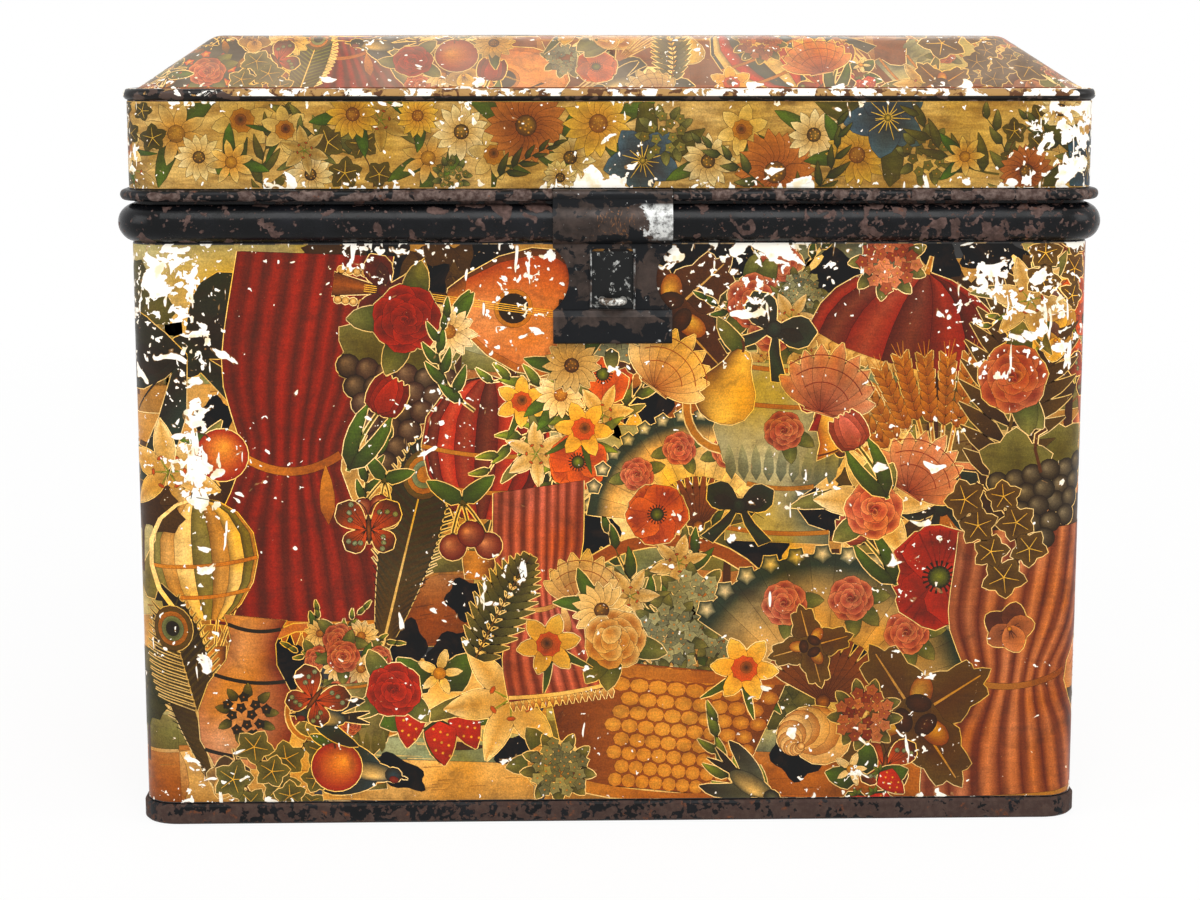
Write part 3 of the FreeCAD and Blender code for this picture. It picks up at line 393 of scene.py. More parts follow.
class Drape:
    """Lays flat sheets down on the hipped top of the lid from above."""

    SLOPE, CROWN = 33.4, 138  # how far in from the edge the upper crease and the flat crown lie

    def __init__(self, node):
        self.tree = BVHTree.FromPolygons([v.co for v in node.data.vertices],
            [tuple(p.vertices) for p in node.data.polygons])
        low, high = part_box(node.name)
        self.half = np.array([high.x, high.y]) / MM
        self.above = high.z + 0.1
        self.foot = low.z

    def place(self, points, heights):
        """Points of the sheet at their heights over the lid, and their normals."""
        places, normals = [], []
        down = Vector((0, 0, -1))
        for (x, y), height in zip(points, heights):
            where, normal, _, _ = self.tree.ray_cast(Vector((x * MM, y * MM, self.above)), down)
            if where is None:
                where, normal = Vector((x * MM, y * MM, self.foot)), Vector((0, 0, 1))
            if normal.z < 0:
                normal = -normal
            places.append(where / MM + normal * height)
            normals.append(normal)
        return np.array(places), np.array(normals)

    def fold(self, points, values, faces):
        """Cuts the faces along the creases, the crown and the hips."""
        crease, crown = self.half - self.SLOPE, self.half - self.CROWN
        lines = [((1, 0), crown[0]), ((0, 1), crown[1])]
        lines += [(way, crease[axis] + step) for axis, way in enumerate(((1, 0), (0, 1)))
            for step in (-3.6, -1.8, 0.0, 1.8, 3.6)]
        for along, at in lines:
            for sign in (1, -1):
                points, values, faces = split(points, values, faces, along, sign * at)
        for step in (0, -3, 3, -6, 6, -9, 9, -12, 12):
            for along in ((1, -1), (1, 1)):
                for sign in (1, -1):
                    middle = np.abs(points[faces].mean(1))
                    hip = (middle > crease - 12).all(1) if step else np.ones(len(faces), bool)
                    points, values, cut = split(points, values, faces[hip], along,
                        sign * (self.half[0] - self.half[1] + step))
                    faces = np.concatenate([faces[~hip], cut])
        return points, values, faces


def paste_up(name, cut, surface, material, body):
    """Makes one mesh of a collage's cut sheets, folded and laid on a surface."""
    points, heights, colours, faces = cut
    values = np.concatenate([heights[:, None], colours], 1)
    points, values, faces = surface.fold(points, values, faces)
    a, b, c = (points[faces[:, k]] for k in range(3))
    area = np.cross(b - a, c - a)
    faces = np.where((area < 0)[:, None], faces[:, ::-1], faces)[np.abs(area) > 1e-5]
    used, faces = np.unique(faces, return_inverse=True)
    points, values, faces = points[used], values[used], faces.reshape(-1, 3)
    places, normals = surface.place(points, values[:, 0])
    mesh = bpy.data.meshes.new(name)
    mesh.vertices.add(len(places))
    mesh.vertices.foreach_set("co", (places * MM).astype(np.float32).ravel())
    mesh.loops.add(len(faces) * 3)
    mesh.loops.foreach_set("vertex_index", faces.astype(np.int32).ravel())
    mesh.polygons.add(len(faces))
    mesh.polygons.foreach_set("loop_start", np.arange(0, len(faces) * 3, 3, dtype=np.int32))
    mesh.update(calc_edges=True)
    tint = mesh.color_attributes.new("print", "FLOAT_COLOR", "POINT")
    rgba = np.concatenate([values[:, 1:], np.ones((len(values), 1))], 1)
    tint.data.foreach_set("color", rgba.astype(np.float32).ravel())
    mesh.polygons.foreach_set("use_smooth", np.ones(len(faces), bool))
    mesh.normals_split_custom_set_from_vertices(normals)
    mesh.materials.append(material)
    piece = bpy.data.objects.new(name, mesh)
    bpy.context.scene.collection.objects.link(piece)
    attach(piece, body)
    return piece


# Printed motifs, each drawn about its middle, in millimetres and radians

QUARTER, HALF, FULL = 1.57, 3.14, 6.28
GOLDEN = 2.4  # from one disc to the next where they are packed evenly round a middle


def motif(draw):
    """Makes a motif's drawing into a function that gives it on a scrap of its own."""
    def drawn(*look, seed=0, **named):
        scrap = Scrap(seed)
        draw(scrap, *look, seed=seed, **named)
        return scrap
    return drawn


def ray(turn, *far):
    """The end of a ray from the middle: its direction times each length."""
    x, y = math.cos(turn), math.sin(turn)
    for part in far:
        x, y = x * part, y * part
    return x, y


@motif
def rose(scrap, size=30, light="blush", mid="rose", dark="crimson", leaves=3, seed=0):
    r = size / 2
    for k in range(leaves):
        angle = scrap.rng.uniform(0, FULL) if k else -1.2
        scrap.petal(*ray(angle, r, 0.6), angle, r * 1.15, r * 0.75, "green", "sage", vein=-0.35,
            bend=scrap.rng.uniform(-0.4, 0.4))
    for ring, (count, far, petal) in enumerate(((7, 0.62, 0.48), (6, 0.4, 0.42), (5, 0.2, 0.34))):
        spin = scrap.rng.uniform(0, FULL)
        for k in range(count):
            angle = spin + k * 2 * np.pi / count + scrap.rng.uniform(-0.1, 0.1)
            outer = blend(mid, light, scrap.rng.uniform(0.35, 1.0))
            scrap.disc(*ray(angle, r, far), r * petal * 1.05, blend(dark, mid, 0.35 + 0.2 * ring), outer,
                r * petal * 0.85, angle + QUARTER, lobes=3, depth=0.05, lift=(0, -0.5), fade=1.3, cut=ring == 0,
                segments=10, rings=2)
    for k in range(4):
        angle = k * 1.7 + 0.4
        scrap.disc(*ray(angle, r, 0.08), r * (0.24 - 0.05 * k), dark, mid if k % 2 else light, r * (0.19 - 0.04 * k),
            angle, fade=2, cut=False, segments=10, rings=2)


@motif
def daisy(scrap, size=24, petals=13, base="sand", tip="white", heart="ochre", leaves=2, seed=0):
    r = size / 2
    for k in range(leaves):
        angle = scrap.rng.uniform(0, FULL)
        scrap.petal(0, 0, angle, r * 1.7, r * 0.55, "pine", "leaf", vein=-0.4, bend=scrap.rng.uniform(-0.6, 0.6))
    for k in range(petals):
        angle = k * 2 * np.pi / petals + scrap.rng.uniform(-0.06, 0.06)
        scrap.petal(*ray(angle, r, 0.15), angle, r * scrap.rng.uniform(0.78, 0.9), r * 0.36, base, tip, belly=0.75,
            vein=0.12, rows=5)
    scrap.disc(0, 0, r * 0.26, blend(heart, "lemon", 0.4), blend(heart, "umber", 0.35), lift=(-0.3, 0.3), cut=False,
        segments=12)
    for k in range(9):
        angle, far = k * GOLDEN, r * 0.2 * math.sqrt(k / 9)
        scrap.dot(*ray(angle, far), r * 0.035, "lemon", "honey", 5, key=None)


@motif
def poppy(scrap, size=44, light="flame", mid="orange", dark="brick", seed=0):
    r = size / 2
    for k, angle in enumerate((0.5, 2.6, 4.4, QUARTER, 5.6)):
        scrap.disc(*ray(angle, r, 0.42), r * 0.62, blend(dark, mid, 0.3),
            blend(mid, light, scrap.rng.uniform(0.3, 1)), r * 0.5, angle + QUARTER, lobes=5, depth=0.07,
            lift=(0, -0.6), segments=16, rings=3)
        for fold in range(5):
            turn = angle + (fold - 2) * 0.22
            scrap.stroke([ray(turn, r, 0.25), ray(turn, r, 0.85)], r * 0.02, r * 0.035, blend(dark, mid, 0.4), rows=3)
    scrap.disc(0, 0, r * 0.2, "lime", "pine", cut=False, segments=12)
    for k in range(18):
        angle = k * 0.349
        scrap.stroke([ray(angle, r, 0.16), ray(angle, r, 0.3)], r * 0.02, r * 0.045, "black", rows=3)


@motif
def leaf_spray(scrap, size=60, count=9, dark="pine", light="leaf", slim=0.34, stem="olive", seed=0):
    sway = scrap.rng.uniform(-0.25, 0.25) * size
    at = [(-sway * 0.2, -size / 2), (sway, 0), (0, size / 2)]
    scrap.stroke(at, size * 0.02, size * 0.008, stem, cut=True)
    curve = [np.polyfit([0, 0.5, 1], [p[k] for p in at], 2) for k in (0, 1)]
    for k in range(count):
        t = 0.12 + 0.86 * k / max(count - 1, 1)
        x, y = (np.polyval(curve[axis], t) for axis in (0, 1))
        side = 1 if k % 2 else -1
        angle = QUARTER - side * (0.95 - 0.5 * t) if k < count - 1 else QUARTER
        length = size * (0.34 - 0.14 * t) * scrap.rng.uniform(0.85, 1.1)
        scrap.petal(x, y, angle, length, length * slim, dark, light, vein=-0.45, bend=side * 0.35, blunt=0.8)


@motif
def butterfly(scrap, size=34, wing="orange", edge="umber", spot="sky", seed=0):
    r = size / 2
    for side in (1, -1):
        for angle, length, width in ((0.75, 1.05, 0.75), (-0.75, 0.8, 0.62)):
            turn = angle if side > 0 else np.pi - angle
            scrap.petal(side * r * 0.05, 0, turn, r * length, r * width, wing, edge, belly=1.6, blunt=0.55, rows=8,
                vein=-0.1)
            for k in range(3):
                far = r * length * (0.55 + 0.13 * k)
                bias = turn + (k - 1) * 0.24
                scrap.disc(*ray(bias, far), r * 0.075, spot, blend(spot, edge, 0.4), cut=False, segments=8, rings=2)
            for k in range(4):
                bias = turn + (k - 1.5) * 0.16
                scrap.stroke([(side * r * 0.07, 0), ray(bias, r, length, 0.8)], r * 0.02, r * 0.01, edge, rows=2)
    scrap.disc(0, 0, r * 0.07, "honey", "umber", r * 0.42, segments=10)
    for side in (1, -1):
        scrap.stroke([(0, r * 0.35), (side * r * 0.12, r * 0.65), (side * r * 0.32, r * 0.8)], r * 0.02, r * 0.04,
            "umber")


def spread(count, far, spin=0.0):
    """Places and directions spaced evenly around a circle."""
    return [(*ray(turn, far), turn) for turn in (spin + k * 2 * math.pi / count for k in range(count))]


@motif
def pansy(scrap, size=26, top="violet", low="lemon", dark="plum", seed=0):
    r = size / 2
    for x, y, angle, tone in ((-0.34, 0.4, 2.1, 0.1), (0.34, 0.4, 1.0, 0.2), (-0.42, -0.1, 3.3, 0.6),
            (0.42, -0.1, -0.2, 0.7), (0, -0.44, -QUARTER, 1.0)):
        scrap.disc(x * r, y * r, r * 0.56, blend(dark, low, tone * 0.3), blend(top, low, tone), r * 0.47, angle,
            lobes=4, depth=0.05, lift=(-0.5, 0), fade=0.8)
        for turn in (-0.35, 0, 0.35):
            scrap.stroke([(0, 0), (math.cos(angle + turn) * r * 0.45, math.sin(angle + turn) * r * 0.45)], r * 0.05,
                r * 0.02, dark, rows=2)
    scrap.dot(0, 0, r * 0.1, "lemon", "honey")


@motif
def clematis(scrap, size=40, light="azure", dark="cobalt", heart="lemon", seed=0):
    r = size / 2
    for k in range(2):
        scrap.petal(0, 0, scrap.rng.uniform(0, FULL), r * 1.8, r * 0.6, "pine", "olive", vein=-0.4, bend=0.4)
    for k in range(5):
        angle = k * 2 * np.pi / 5 + scrap.rng.uniform(-0.12, 0.12)
        scrap.petal(*ray(angle, r, 0.08), angle, r * scrap.rng.uniform(0.84, 0.98), r * 0.78, dark, light, belly=0.6,
            vein=0.3, rows=6)
    for k in range(16):
        angle, far = k * 0.41, r * (0.3 + 0.12 * (k % 3))
        scrap.stroke([(0, 0), ray(angle, far)], r * 0.03, r * 0.012, heart, rows=2)
    scrap.dot(0, 0, r * 0.08, "lemon", "olive")


@motif
def tulip(scrap, size=60, light="flame", dark="red", leaf="leaf", seed=0):
    h = size
    scrap.stroke([(0, -h * 0.5), (h * 0.03, -h * 0.2), (0, h * 0.12)], h * 0.03, h * 0.02, leaf, "olive", cut=True)
    for side in (-1, 1):
        scrap.petal(0, -h * 0.48, QUARTER + side * 0.55, h * 0.62, h * 0.13, "pine", leaf, vein=-0.35,
            bend=-side * 0.6)
    for x, angle, tone in ((-0.05, 1.95, 0.1), (0.05, 1.19, 0.2), (-0.03, 1.72, 0.6), (0.03, 1.42, 0.5),
            (0, QUARTER, 1)):
        scrap.petal(x * h, h * 0.08, angle, h * 0.36, h * 0.17, blend(dark, light, tone * 0.3),
            blend(dark, light, tone), blunt=0.5, bend=(QUARTER - angle) * 0.8, vein=0.2)


@motif
def lily(scrap, size=48, base="sand", tip="white", rib="olive", seed=0):
    r = size / 2
    for x, y, turn in spread(3, r * 0.3, 0.4):
        scrap.petal(x, y, turn, r * 1.1, r * 0.3, "pine", "sage", vein=-0.3, bend=0.4)
    for k, (x, y, turn) in enumerate(spread(6, r * 0.06, 0.5)):
        scrap.petal(x, y, turn, r * 0.95, r * (0.38 if k % 2 else 0.46), blend(base, rib, 0.3), tip,
            middle=blend(base, rib, 0.15), belly=0.8, blunt=0.8, rows=7)
    for x, y, turn in spread(6, r * 0.3, 0.9):
        scrap.stroke([(0, 0), (x, y)], r * 0.03, r * 0.02, "lime", rows=2)
        scrap.disc(x, y, r * 0.07, "orange", "honey", r * 0.035, turn + QUARTER, cut=False, segments=6, rings=1)


@motif
def daffodil(scrap, size=38, tip="lemon", base="yellow", cup="orange", seed=0):
    r = size / 2
    for side in (-1, 1):
        scrap.petal(0, 0, -QUARTER + side * 0.4, r * 1.5, r * 0.22, "pine", "leaf", bend=side * 0.3)
    for x, y, turn in spread(6, r * 0.1, 0.3):
        scrap.petal(x, y, turn, r * 0.85, r * 0.5, base, tip, vein=0.1, belly=0.8)
    scrap.disc(0, 0, r * 0.36, "honey", cup, lobes=9, depth=0.08, segments=27, lift=(0.1, 0.2), cut=False)
    scrap.disc(r * 0.03, r * 0.05, r * 0.17, "umber", "honey", cut=False, segments=10, rings=2)


@motif
def posy(scrap, size=54, light="mist", dark="slate", heart="lemon", count=26, seed=0):
    r = size / 2
    for x, y, turn in spread(9, r * 0.6, 0.2):
        scrap.petal(x, y, turn + scrap.rng.uniform(-0.4, 0.4), r * 0.55, r * 0.34, "pine", "sage", vein=-0.3)
    for k in range(count):
        far, turn = r * 0.82 * math.sqrt((k + 0.5) / count), k * GOLDEN
        x, y, tone = *ray(turn, far), scrap.rng.uniform(0, 1)
        scrap.disc(x, y, r * 0.17, blend(dark, light, tone * 0.6), blend(dark, light, tone), angle=turn, lobes=5,
            depth=0.22, segments=15, rings=1)
        scrap.dot(x, y, r * 0.035, heart, "honey", 5, key=None)


@motif
def ivy(scrap, size=64, count=7, dark="pine", light="sage", lobes=5, seed=0):
    h = size
    stem = [(-h * 0.1, -h * 0.5), (h * 0.12, -h * 0.1), (0, h * 0.5)]
    scrap.stroke(stem, h * 0.018, h * 0.01, "brown", cut=True)
    for k in range(count):
        t = (k + 0.3) / count
        y = h * (t - 0.5)
        side = 1 if k % 2 else -1
        x, turn = side * h * 0.17, side * (0.4 - t)
        leaf = h * scrap.rng.uniform(0.12, 0.17)
        scrap.disc(x, y, leaf, blend(dark, light, 0.35), blend(dark, light, 0.9), leaf * 1.12, turn + QUARTER * side,
            lobes=lobes, depth=0.2, segments=20, fade=1.4)
        for lobe in range(lobes):
            at = turn + QUARTER * side + lobe * 2 * math.pi / lobes
            scrap.stroke([(x, y), (x + math.cos(at) * leaf * 0.9, y + math.sin(at) * leaf * 0.9)], h * 0.008,
                h * 0.004, "lemon", rows=2)


@motif
def fern(scrap, size=80, light="sage", dark="pine", pairs=13, seed=0):
    h = size
    bow = scrap.rng.uniform(-0.12, 0.12) * h
    for k in range(pairs):
        t = k / pairs
        x, y = bow * math.sin(t * math.pi), h * (t - 0.5)
        for side in (-1, 1):
            scrap.petal(x, y, QUARTER - side * (1.05 - 0.3 * t),
                h * 0.3 * math.sin(math.pi * (0.2 + 0.8 * t)) + h * 0.03, h * 0.07, dark, light, rows=4)
    scrap.stroke([(0, -h * 0.5), (bow, 0), (0, h * 0.5)], h * 0.016, h * 0.006, "bronze", cut=True)


@motif
def oak(scrap, size=56, light="bronze", dark="brown", nuts=3, seed=0):
    r = size / 2
    for x, y, turn in spread(4, r * 0.45, 0.4):
        scrap.disc(x, y, r * 0.62, blend(dark, light, 0.3), light, r * 0.34, turn, lobes=8, depth=0.12, segments=32,
            lift=(-0.3, 0))
        scrap.stroke([(x * 0.2, y * 0.2), (x * 2.2, y * 2.2)], r * 0.04, r * 0.015, "sand", rows=3)
    for x, y, turn in spread(nuts, r * 0.22, 1.2):
        scrap.disc(x * 1.5, y * 1.5, r * 0.22, "lemon", "honey", r * 0.15, turn, lift=(-0.2, 0.4))
        scrap.disc(x * 0.8, y * 0.8, r * 0.12, "brown", "umber", r * 0.17, turn)


@motif
def wheat(scrap, size=96, light="straw", dark="honey", stalks=7, seed=0):
    h = size
    for k in range(stalks):
        lean = (k / (stalks - 1) - 0.5) * 0.9
        top = (math.sin(lean) * h * 0.62, h * (0.5 - abs(lean) * 0.18))
        foot = (-math.sin(lean) * h * 0.25, -h * 0.48)
        scrap.stroke([foot, (0, -h * 0.12), top], h * 0.014, h * 0.008, dark, light, cut=True)
        for g in range(7):
            x, y = top[0] * (1 - g * 0.07), top[1] - g * h * 0.04
            for side in (-1, 1):
                scrap.petal(x, y, QUARTER - lean - side * 0.5, h * 0.075, h * 0.03, dark, light, rows=4)
        for awn in (-0.2, 0, 0.2):
            scrap.stroke([top, (top[0] + math.sin(lean + awn) * h * 0.13, top[1] + h * 0.11)], h * 0.005, h * 0.002,
                light, rows=2)
    scrap.join(bow_knot(h * 0.42, "teal", "navy", seed=seed), 0, -h * 0.14)


@motif
def grapes(scrap, size=66, light="violet", dark="plum", seed=0):
    r = size / 2
    for x, turn in ((-0.35, 2.6), (0.35, 0.6)):
        scrap.disc(x * r, r * 0.72, r * 0.5, "olive", "sage", r * 0.46, turn, lobes=5, depth=0.18, segments=20)
    for row in range(6):
        for k in range(6 - row):
            x, y = (k - (5 - row) / 2) * r * 0.27, r * (0.5 - row * 0.25)
            scrap.disc(x, y + scrap.rng.uniform(-1, 1), r * 0.165, blend(light, "white", 0.35),
                blend(light, dark, scrap.rng.uniform(0.4, 1)), lift=(-0.35, 0.35), segments=12, fade=0.8)
    scrap.stroke([(0, r * 0.5), (0, r), (r * 0.2, r * 1.15)], r * 0.05, colour="brown", rows=4, cut=True)


@motif
def cherries(scrap, size=34, light="scarlet", dark="crimson", seed=0):
    r = size / 2
    for turn in (0.5, 2.4):
        scrap.petal(0, r * 0.7, turn, r * 1.1, r * 0.45, "green", "leaf", vein=-0.3)
    for x, y in ((-0.5, -0.45), (0.45, -0.6), (0.05, -0.2)):
        scrap.stroke([(0, r * 0.75), (x * r * 0.8, 0), (x * r, y * r)], r * 0.05, colour="olive", rows=5, cut=True)
        scrap.disc(x * r, y * r, r * 0.36, blend(light, "white", 0.5), dark, lift=(-0.35, 0.35), fade=0.6)


@motif
def berries(scrap, size=44, seed=0):
    r = size / 2
    for x, y, turn in spread(5, r * 0.25, 0.9):
        scrap.petal(x, y, turn, r * 0.75, r * 0.5, "pine", "leaf", vein=-0.3)
    for x, y, turn in ((-0.4, 0.05, -1.8), (0.35, -0.1, -1.3), (0, -0.3, -QUARTER)):
        x, y = x * r, y * r
        scrap.petal(x, y, turn, r * 0.75, r * 0.52, "scarlet", "red", belly=0.5, blunt=0.6, vein=-0.15)
        for k in range(9):
            along, aside = (0.12 + 0.06 * k) * r, ((k % 3) - 1) * r * 0.11
            scrap.dot(x + math.cos(turn) * along - math.sin(turn) * aside,
                y + math.sin(turn) * along + math.cos(turn) * aside, r * 0.025, "lemon", "yellow", 5, key=None)
        for sepal in (-0.9, 0, 0.9):
            scrap.petal(x, y, turn + HALF + sepal, r * 0.2, r * 0.1, "green", "lime", rows=3, cut=False)
    scrap.join(daisy(size * 0.4, 5, "cream", "white", "yellow", 0, seed=seed), r * 0.1, r * 0.5)


@motif
def pear(scrap, size=44, light="lemon", dark="olive", blush_ink="brick", seed=0):
    h = size
    scrap.petal(0, h * 0.4, 0.3, h * 0.5, h * 0.2, "green", "sage", vein=-0.3, bend=0.4)
    scrap.turned([(-0.5, 0.08), (-0.46, 0.2), (-0.36, 0.31), (-0.2, 0.36), (-0.03, 0.32), (0.1, 0.23), (0.22, 0.16),
        (0.33, 0.13), (0.4, 0.07)], light, blend(dark, blush_ink, 0.4))
    scrap.shapes[-1] = (scrap.shapes[-1][0] * h, *scrap.shapes[-1][1:])
    scrap.stroke([(0, h * 0.38), (h * 0.02, h * 0.46), (h * 0.07, h * 0.52)], h * 0.03, colour="brown", rows=4)


@motif
def apple(scrap, size=40, light="flame", dark="red", seed=0):
    r = size / 2
    scrap.petal(0, r * 0.8, 0.5, r, r * 0.4, "green", "leaf", vein=-0.3)
    scrap.disc(0, 0, r * 0.95, blend(light, "lemon", 0.6), dark, r * 0.9, lobes=2, depth=-0.03, lift=(-0.3, 0.25),
        segments=22, rings=4, fade=0.9)
    scrap.stroke([(0, r * 0.7), (r * 0.05, r), (r * 0.2, r * 1.2)], r * 0.07, colour="brown", rows=4)


@motif
def bow_knot(scrap, size=56, light="teal", dark="navy", seed=0):
    r = size / 2
    for side in (-1, 1):
        scrap.strip([(0, 0), (side * r * 0.2, -r * 0.5), (side * r * 0.62, -r * 1.05)],
            [(side * r * 0.1, 0), (side * r * 0.45, -r * 0.45), (side * r * 0.95, -r * 0.9)],
            [[dark, light], [light, dark], [dark, light]])
        scrap.petal(0, 0, QUARTER - side * 1.25, r, r * 0.75, dark, light, belly=1.3, blunt=0.6, vein=0.3,
            bend=side * 0.3)
        scrap.petal(side * r * 0.12, r * 0.02, QUARTER - side * 1.3, r * 0.6, r * 0.3, blend(dark, "black", 0.5),
            dark, belly=1.2, cut=False, rows=5)
        for fold in (-0.3, 0.2):
            scrap.stroke([(side * r * 0.1, 0), (side * r * 0.7, r * fold)], r * 0.03, r * 0.01, dark, rows=2)
    scrap.disc(0, 0, r * 0.17, light, dark, r * 0.2, lift=(-0.2, 0.3))


@motif
def bouquet(scrap, size=80, flowers=None, seed=0):
    """Flowers packed round, with leaves between."""
    r = size / 2
    flowers = flowers or (daisy, rose, poppy)
    for x, y, turn in spread(7, r * 0.55, scrap.rng.uniform(0, 1)):
        scrap.join(leaf_spray(r * 1.0, 7, light="lime" if seed % 2 else "leaf", seed=seed), x, y, 1, turn - QUARTER)
    for k in range(9):
        far, turn = r * 0.68 * math.sqrt((8 - k) / 8), k * GOLDEN + seed
        kind = flowers[k % len(flowers)]
        scrap.join(kind(r * scrap.rng.uniform(0.5, 0.68), seed=seed + k), *ray(turn, far), 1,
            scrap.rng.uniform(-1, 1))


@motif
def basket(scrap, size=110, light="straw", dark="honey", flowers=None, seed=0):
    r = size / 2
    scrap.stroke([(-r * 0.8, 0), (-r * 0.45, r * 0.85), (r * 0.45, r * 0.85), (r * 0.8, 0)], r * 0.09, colour=dark,
        cut=True, rows=20)
    scrap.join(bouquet(size * 0.85, flowers, seed=seed), 0, r * 0.25)
    left = [(-r * (0.62 + 0.3 * t), -r * (0.95 - 0.95 * t)) for t in np.linspace(0, 1, 9)]
    right = [(-x, y) for x, y in left]
    shadow = np.linspace(-1, 1, 9) ** 2 * 0.6
    scrap.strip(left, right, np.repeat(blend(dark, "brown", shadow)[None], 9, 0))
    for row in range(9):
        y = -r * (0.9 - 0.105 * row)
        wide = r * (0.62 + 0.3 * (row + 0.5) / 9)
        for k in range(12):
            x = -wide + wide * 2 * (k + 0.5 + 0.5 * (row % 2)) / 12.5
            tone = abs(x / wide) ** 2
            scrap.disc(x, y, wide * 0.085, blend(light, "lemon", 0.35), blend(light, dark, tone), r * 0.055,
                cut=False, key="brown", segments=8, rings=1)
    for y, wide in ((0.0, 0.95), (-0.95, 0.66)):
        scrap.stroke([(-r * wide, r * y), (0, r * (y - 0.06)), (r * wide, r * y)], r * 0.09, colour=light, tail=dark,
            cut=True)


@motif
def urn(scrap, size=130, light="mist", dark="slate", trim="gold", flowers=None, seed=0):
    h = size
    scrap.join(bouquet(h * 0.55, flowers, seed=seed), 0, h * 0.24)
    for side in (-1, 1):
        scrap.stroke([(side * h * 0.16, h * 0.04), (side * h * 0.31, 0), (side * h * 0.3, -h * 0.14),
            (side * h * 0.16, -h * 0.2)], h * 0.022, colour=trim, cut=True, rows=14)
    profile = [(-0.5, 0.17), (-0.46, 0.17), (-0.44, 0.1), (-0.39, 0.06), (-0.35, 0.06), (-0.32, 0.1), (-0.24, 0.19),
        (-0.13, 0.23), (-0.04, 0.2), (0.02, 0.14), (0.06, 0.13), (0.09, 0.17)]
    scrap.turned([(y * h, x * h) for y, x in profile], blend(light, "white", 0.3), dark, columns=11)
    for y, wide in ((-0.46, 0.17), (-0.31, 0.11), (-0.04, 0.2), (0.08, 0.165)):
        scrap.stroke([(-h * wide, h * y), (0, h * (y - 0.012)), (h * wide, h * y)], h * 0.014, colour=trim,
            key="brown")
    for k in range(9):
        x = (k - 4) * h * 0.04
        scrap.petal(x, -h * 0.3, QUARTER - x / h, h * 0.12, h * 0.035, dark, light, cut=False, key=None, rows=5)
    scrap.join(rose(h * 0.13, leaves=2, seed=seed), 0, -h * 0.13)


def gores(scrap, outline, count, inks, squash=0.0):
    """Panels of a round cloth or balloon seen from the side; outline is heights and half widths."""
    turns = np.linspace(-math.pi / 2, math.pi / 2, count + 1)
    for k, (start, end) in enumerate(zip(turns, turns[1:])):
        left = [(wide * math.sin(start), y - squash * wide * math.cos(start)) for y, wide in outline]
        right = [(wide * math.sin(end), y - squash * wide * math.cos(end)) for y, wide in outline]
        middle = (start + end) / 2
        hue = ink(inks[k % len(inks)])
        dark = blend(hue, "black", 0.15 + 0.4 * abs(math.sin(middle + 0.5)))
        bright = blend(hue, "white", 0.12 * math.cos(middle + 0.5) ** 2)
        scrap.strip(left, right, np.repeat(np.stack([dark, bright, hue])[None], len(outline), 0))


@motif
def parasol(scrap, size=130, inks=("red", "scarlet"), frill="cream", seed=0):
    r = size / 2
    scrap.stroke([(0, r * 0.9), (0, -r * 0.6), (0, -r * 1.0), (r * 0.12, -r * 1.12)], r * 0.04, colour="honey",
        tail="brown", cut=True, rows=18)
    outline = [(r * (0.15 + 0.75 * math.cos(t)), r * 0.92 * math.sin(t) + r * 0.01) for t in np.linspace(0, 1.5, 7)]
    for x in np.linspace(-0.88, 0.88, 15):
        scrap.disc(x * r, r * (0.16 - 0.2 * math.sqrt(max(0, 0.8 - x * x))), r * 0.085, frill, "tan", lobes=6,
            depth=0.12, segments=12, rings=1)
    gores(scrap, outline, 7, inks, 0.22)
    scrap.stroke([(0, r * 0.88), (0, r * 1.05)], r * 0.05, r * 0.02, "gold", rows=2, cut=True)
    scrap.join(bow_knot(r * 0.5, frill, "tan", seed=seed), 0, -r * 0.55)


@motif
def balloon(scrap, size=100, inks=("scarlet", "cream", "blue"), seed=0):
    h = size
    for x in (-0.1, -0.04, 0.04, 0.1):
        scrap.stroke([(x * h * 2, -h * 0.05), (x * h * 0.6, -h * 0.36)], h * 0.006, colour="brown", rows=2, cut=True)
    outline = [(h * 0.5, 0.01), (h * 0.47, h * 0.12), (h * 0.4, h * 0.22), (h * 0.28, h * 0.295),
        (h * 0.14, h * 0.31), (0.0, h * 0.27), (-h * 0.12, h * 0.19), (-h * 0.2, h * 0.1)]
    gores(scrap, outline, 9, inks)
    for y, wide in ((0.14, 0.31), (-0.04, 0.25)):
        scrap.stroke([(-h * wide, h * y), (0, h * (y - 0.03)), (h * wide, h * y)], h * 0.02, colour="gold",
            key="brown")
    scrap.turned([(-h * 0.5, h * 0.06), (-h * 0.43, h * 0.075), (-h * 0.36, h * 0.085)], "straw", "brown")


@motif
def scallop(scrap, size=54, light="blush", dark="brick", seed=0):
    r = size / 2
    scrap.strip([(-r * 0.4, -r * 0.8), (-r * 0.3, -r * 0.45)], [(r * 0.4, -r * 0.8), (r * 0.3, -r * 0.45)],
        [[dark, light, dark]] * 2)
    for turn in (-1.15, 1.15, -0.85, 0.85, -0.57, 0.57, -0.3, 0.3, 0):
        scrap.petal(0, -r * 0.75, QUARTER - turn, r * (1.7 - 0.35 * abs(turn)), r * 0.42, dark,
            blend(light, "white", 0.3), middle=light, belly=1.3, blunt=0.6, vein=0.2, rows=8)
    for far in (0.7, 1.05, 1.35):
        scrap.stroke([(math.cos(QUARTER - t) * r * far, -r * 0.75 + math.sin(QUARTER - t) * r * far)
            for t in np.linspace(-0.9, 0.9, 7)], r * 0.025, colour=dark)


@motif
def nautilus(scrap, size=50, light="cream", dark="brick", seed=0):
    r = size / 2
    for k in range(16):
        turn, far = 0.36 * k, r * 0.62 * 0.87 ** k
        scrap.disc(*ray(turn, far, 0.8), r * 0.58 * 0.87 ** k, blend(light, "white", 0.3),
            blend(dark, light, 0.25 if k % 2 else 0.6), angle=turn, lift=(0.3, 0.2), segments=14, cut=k < 7)


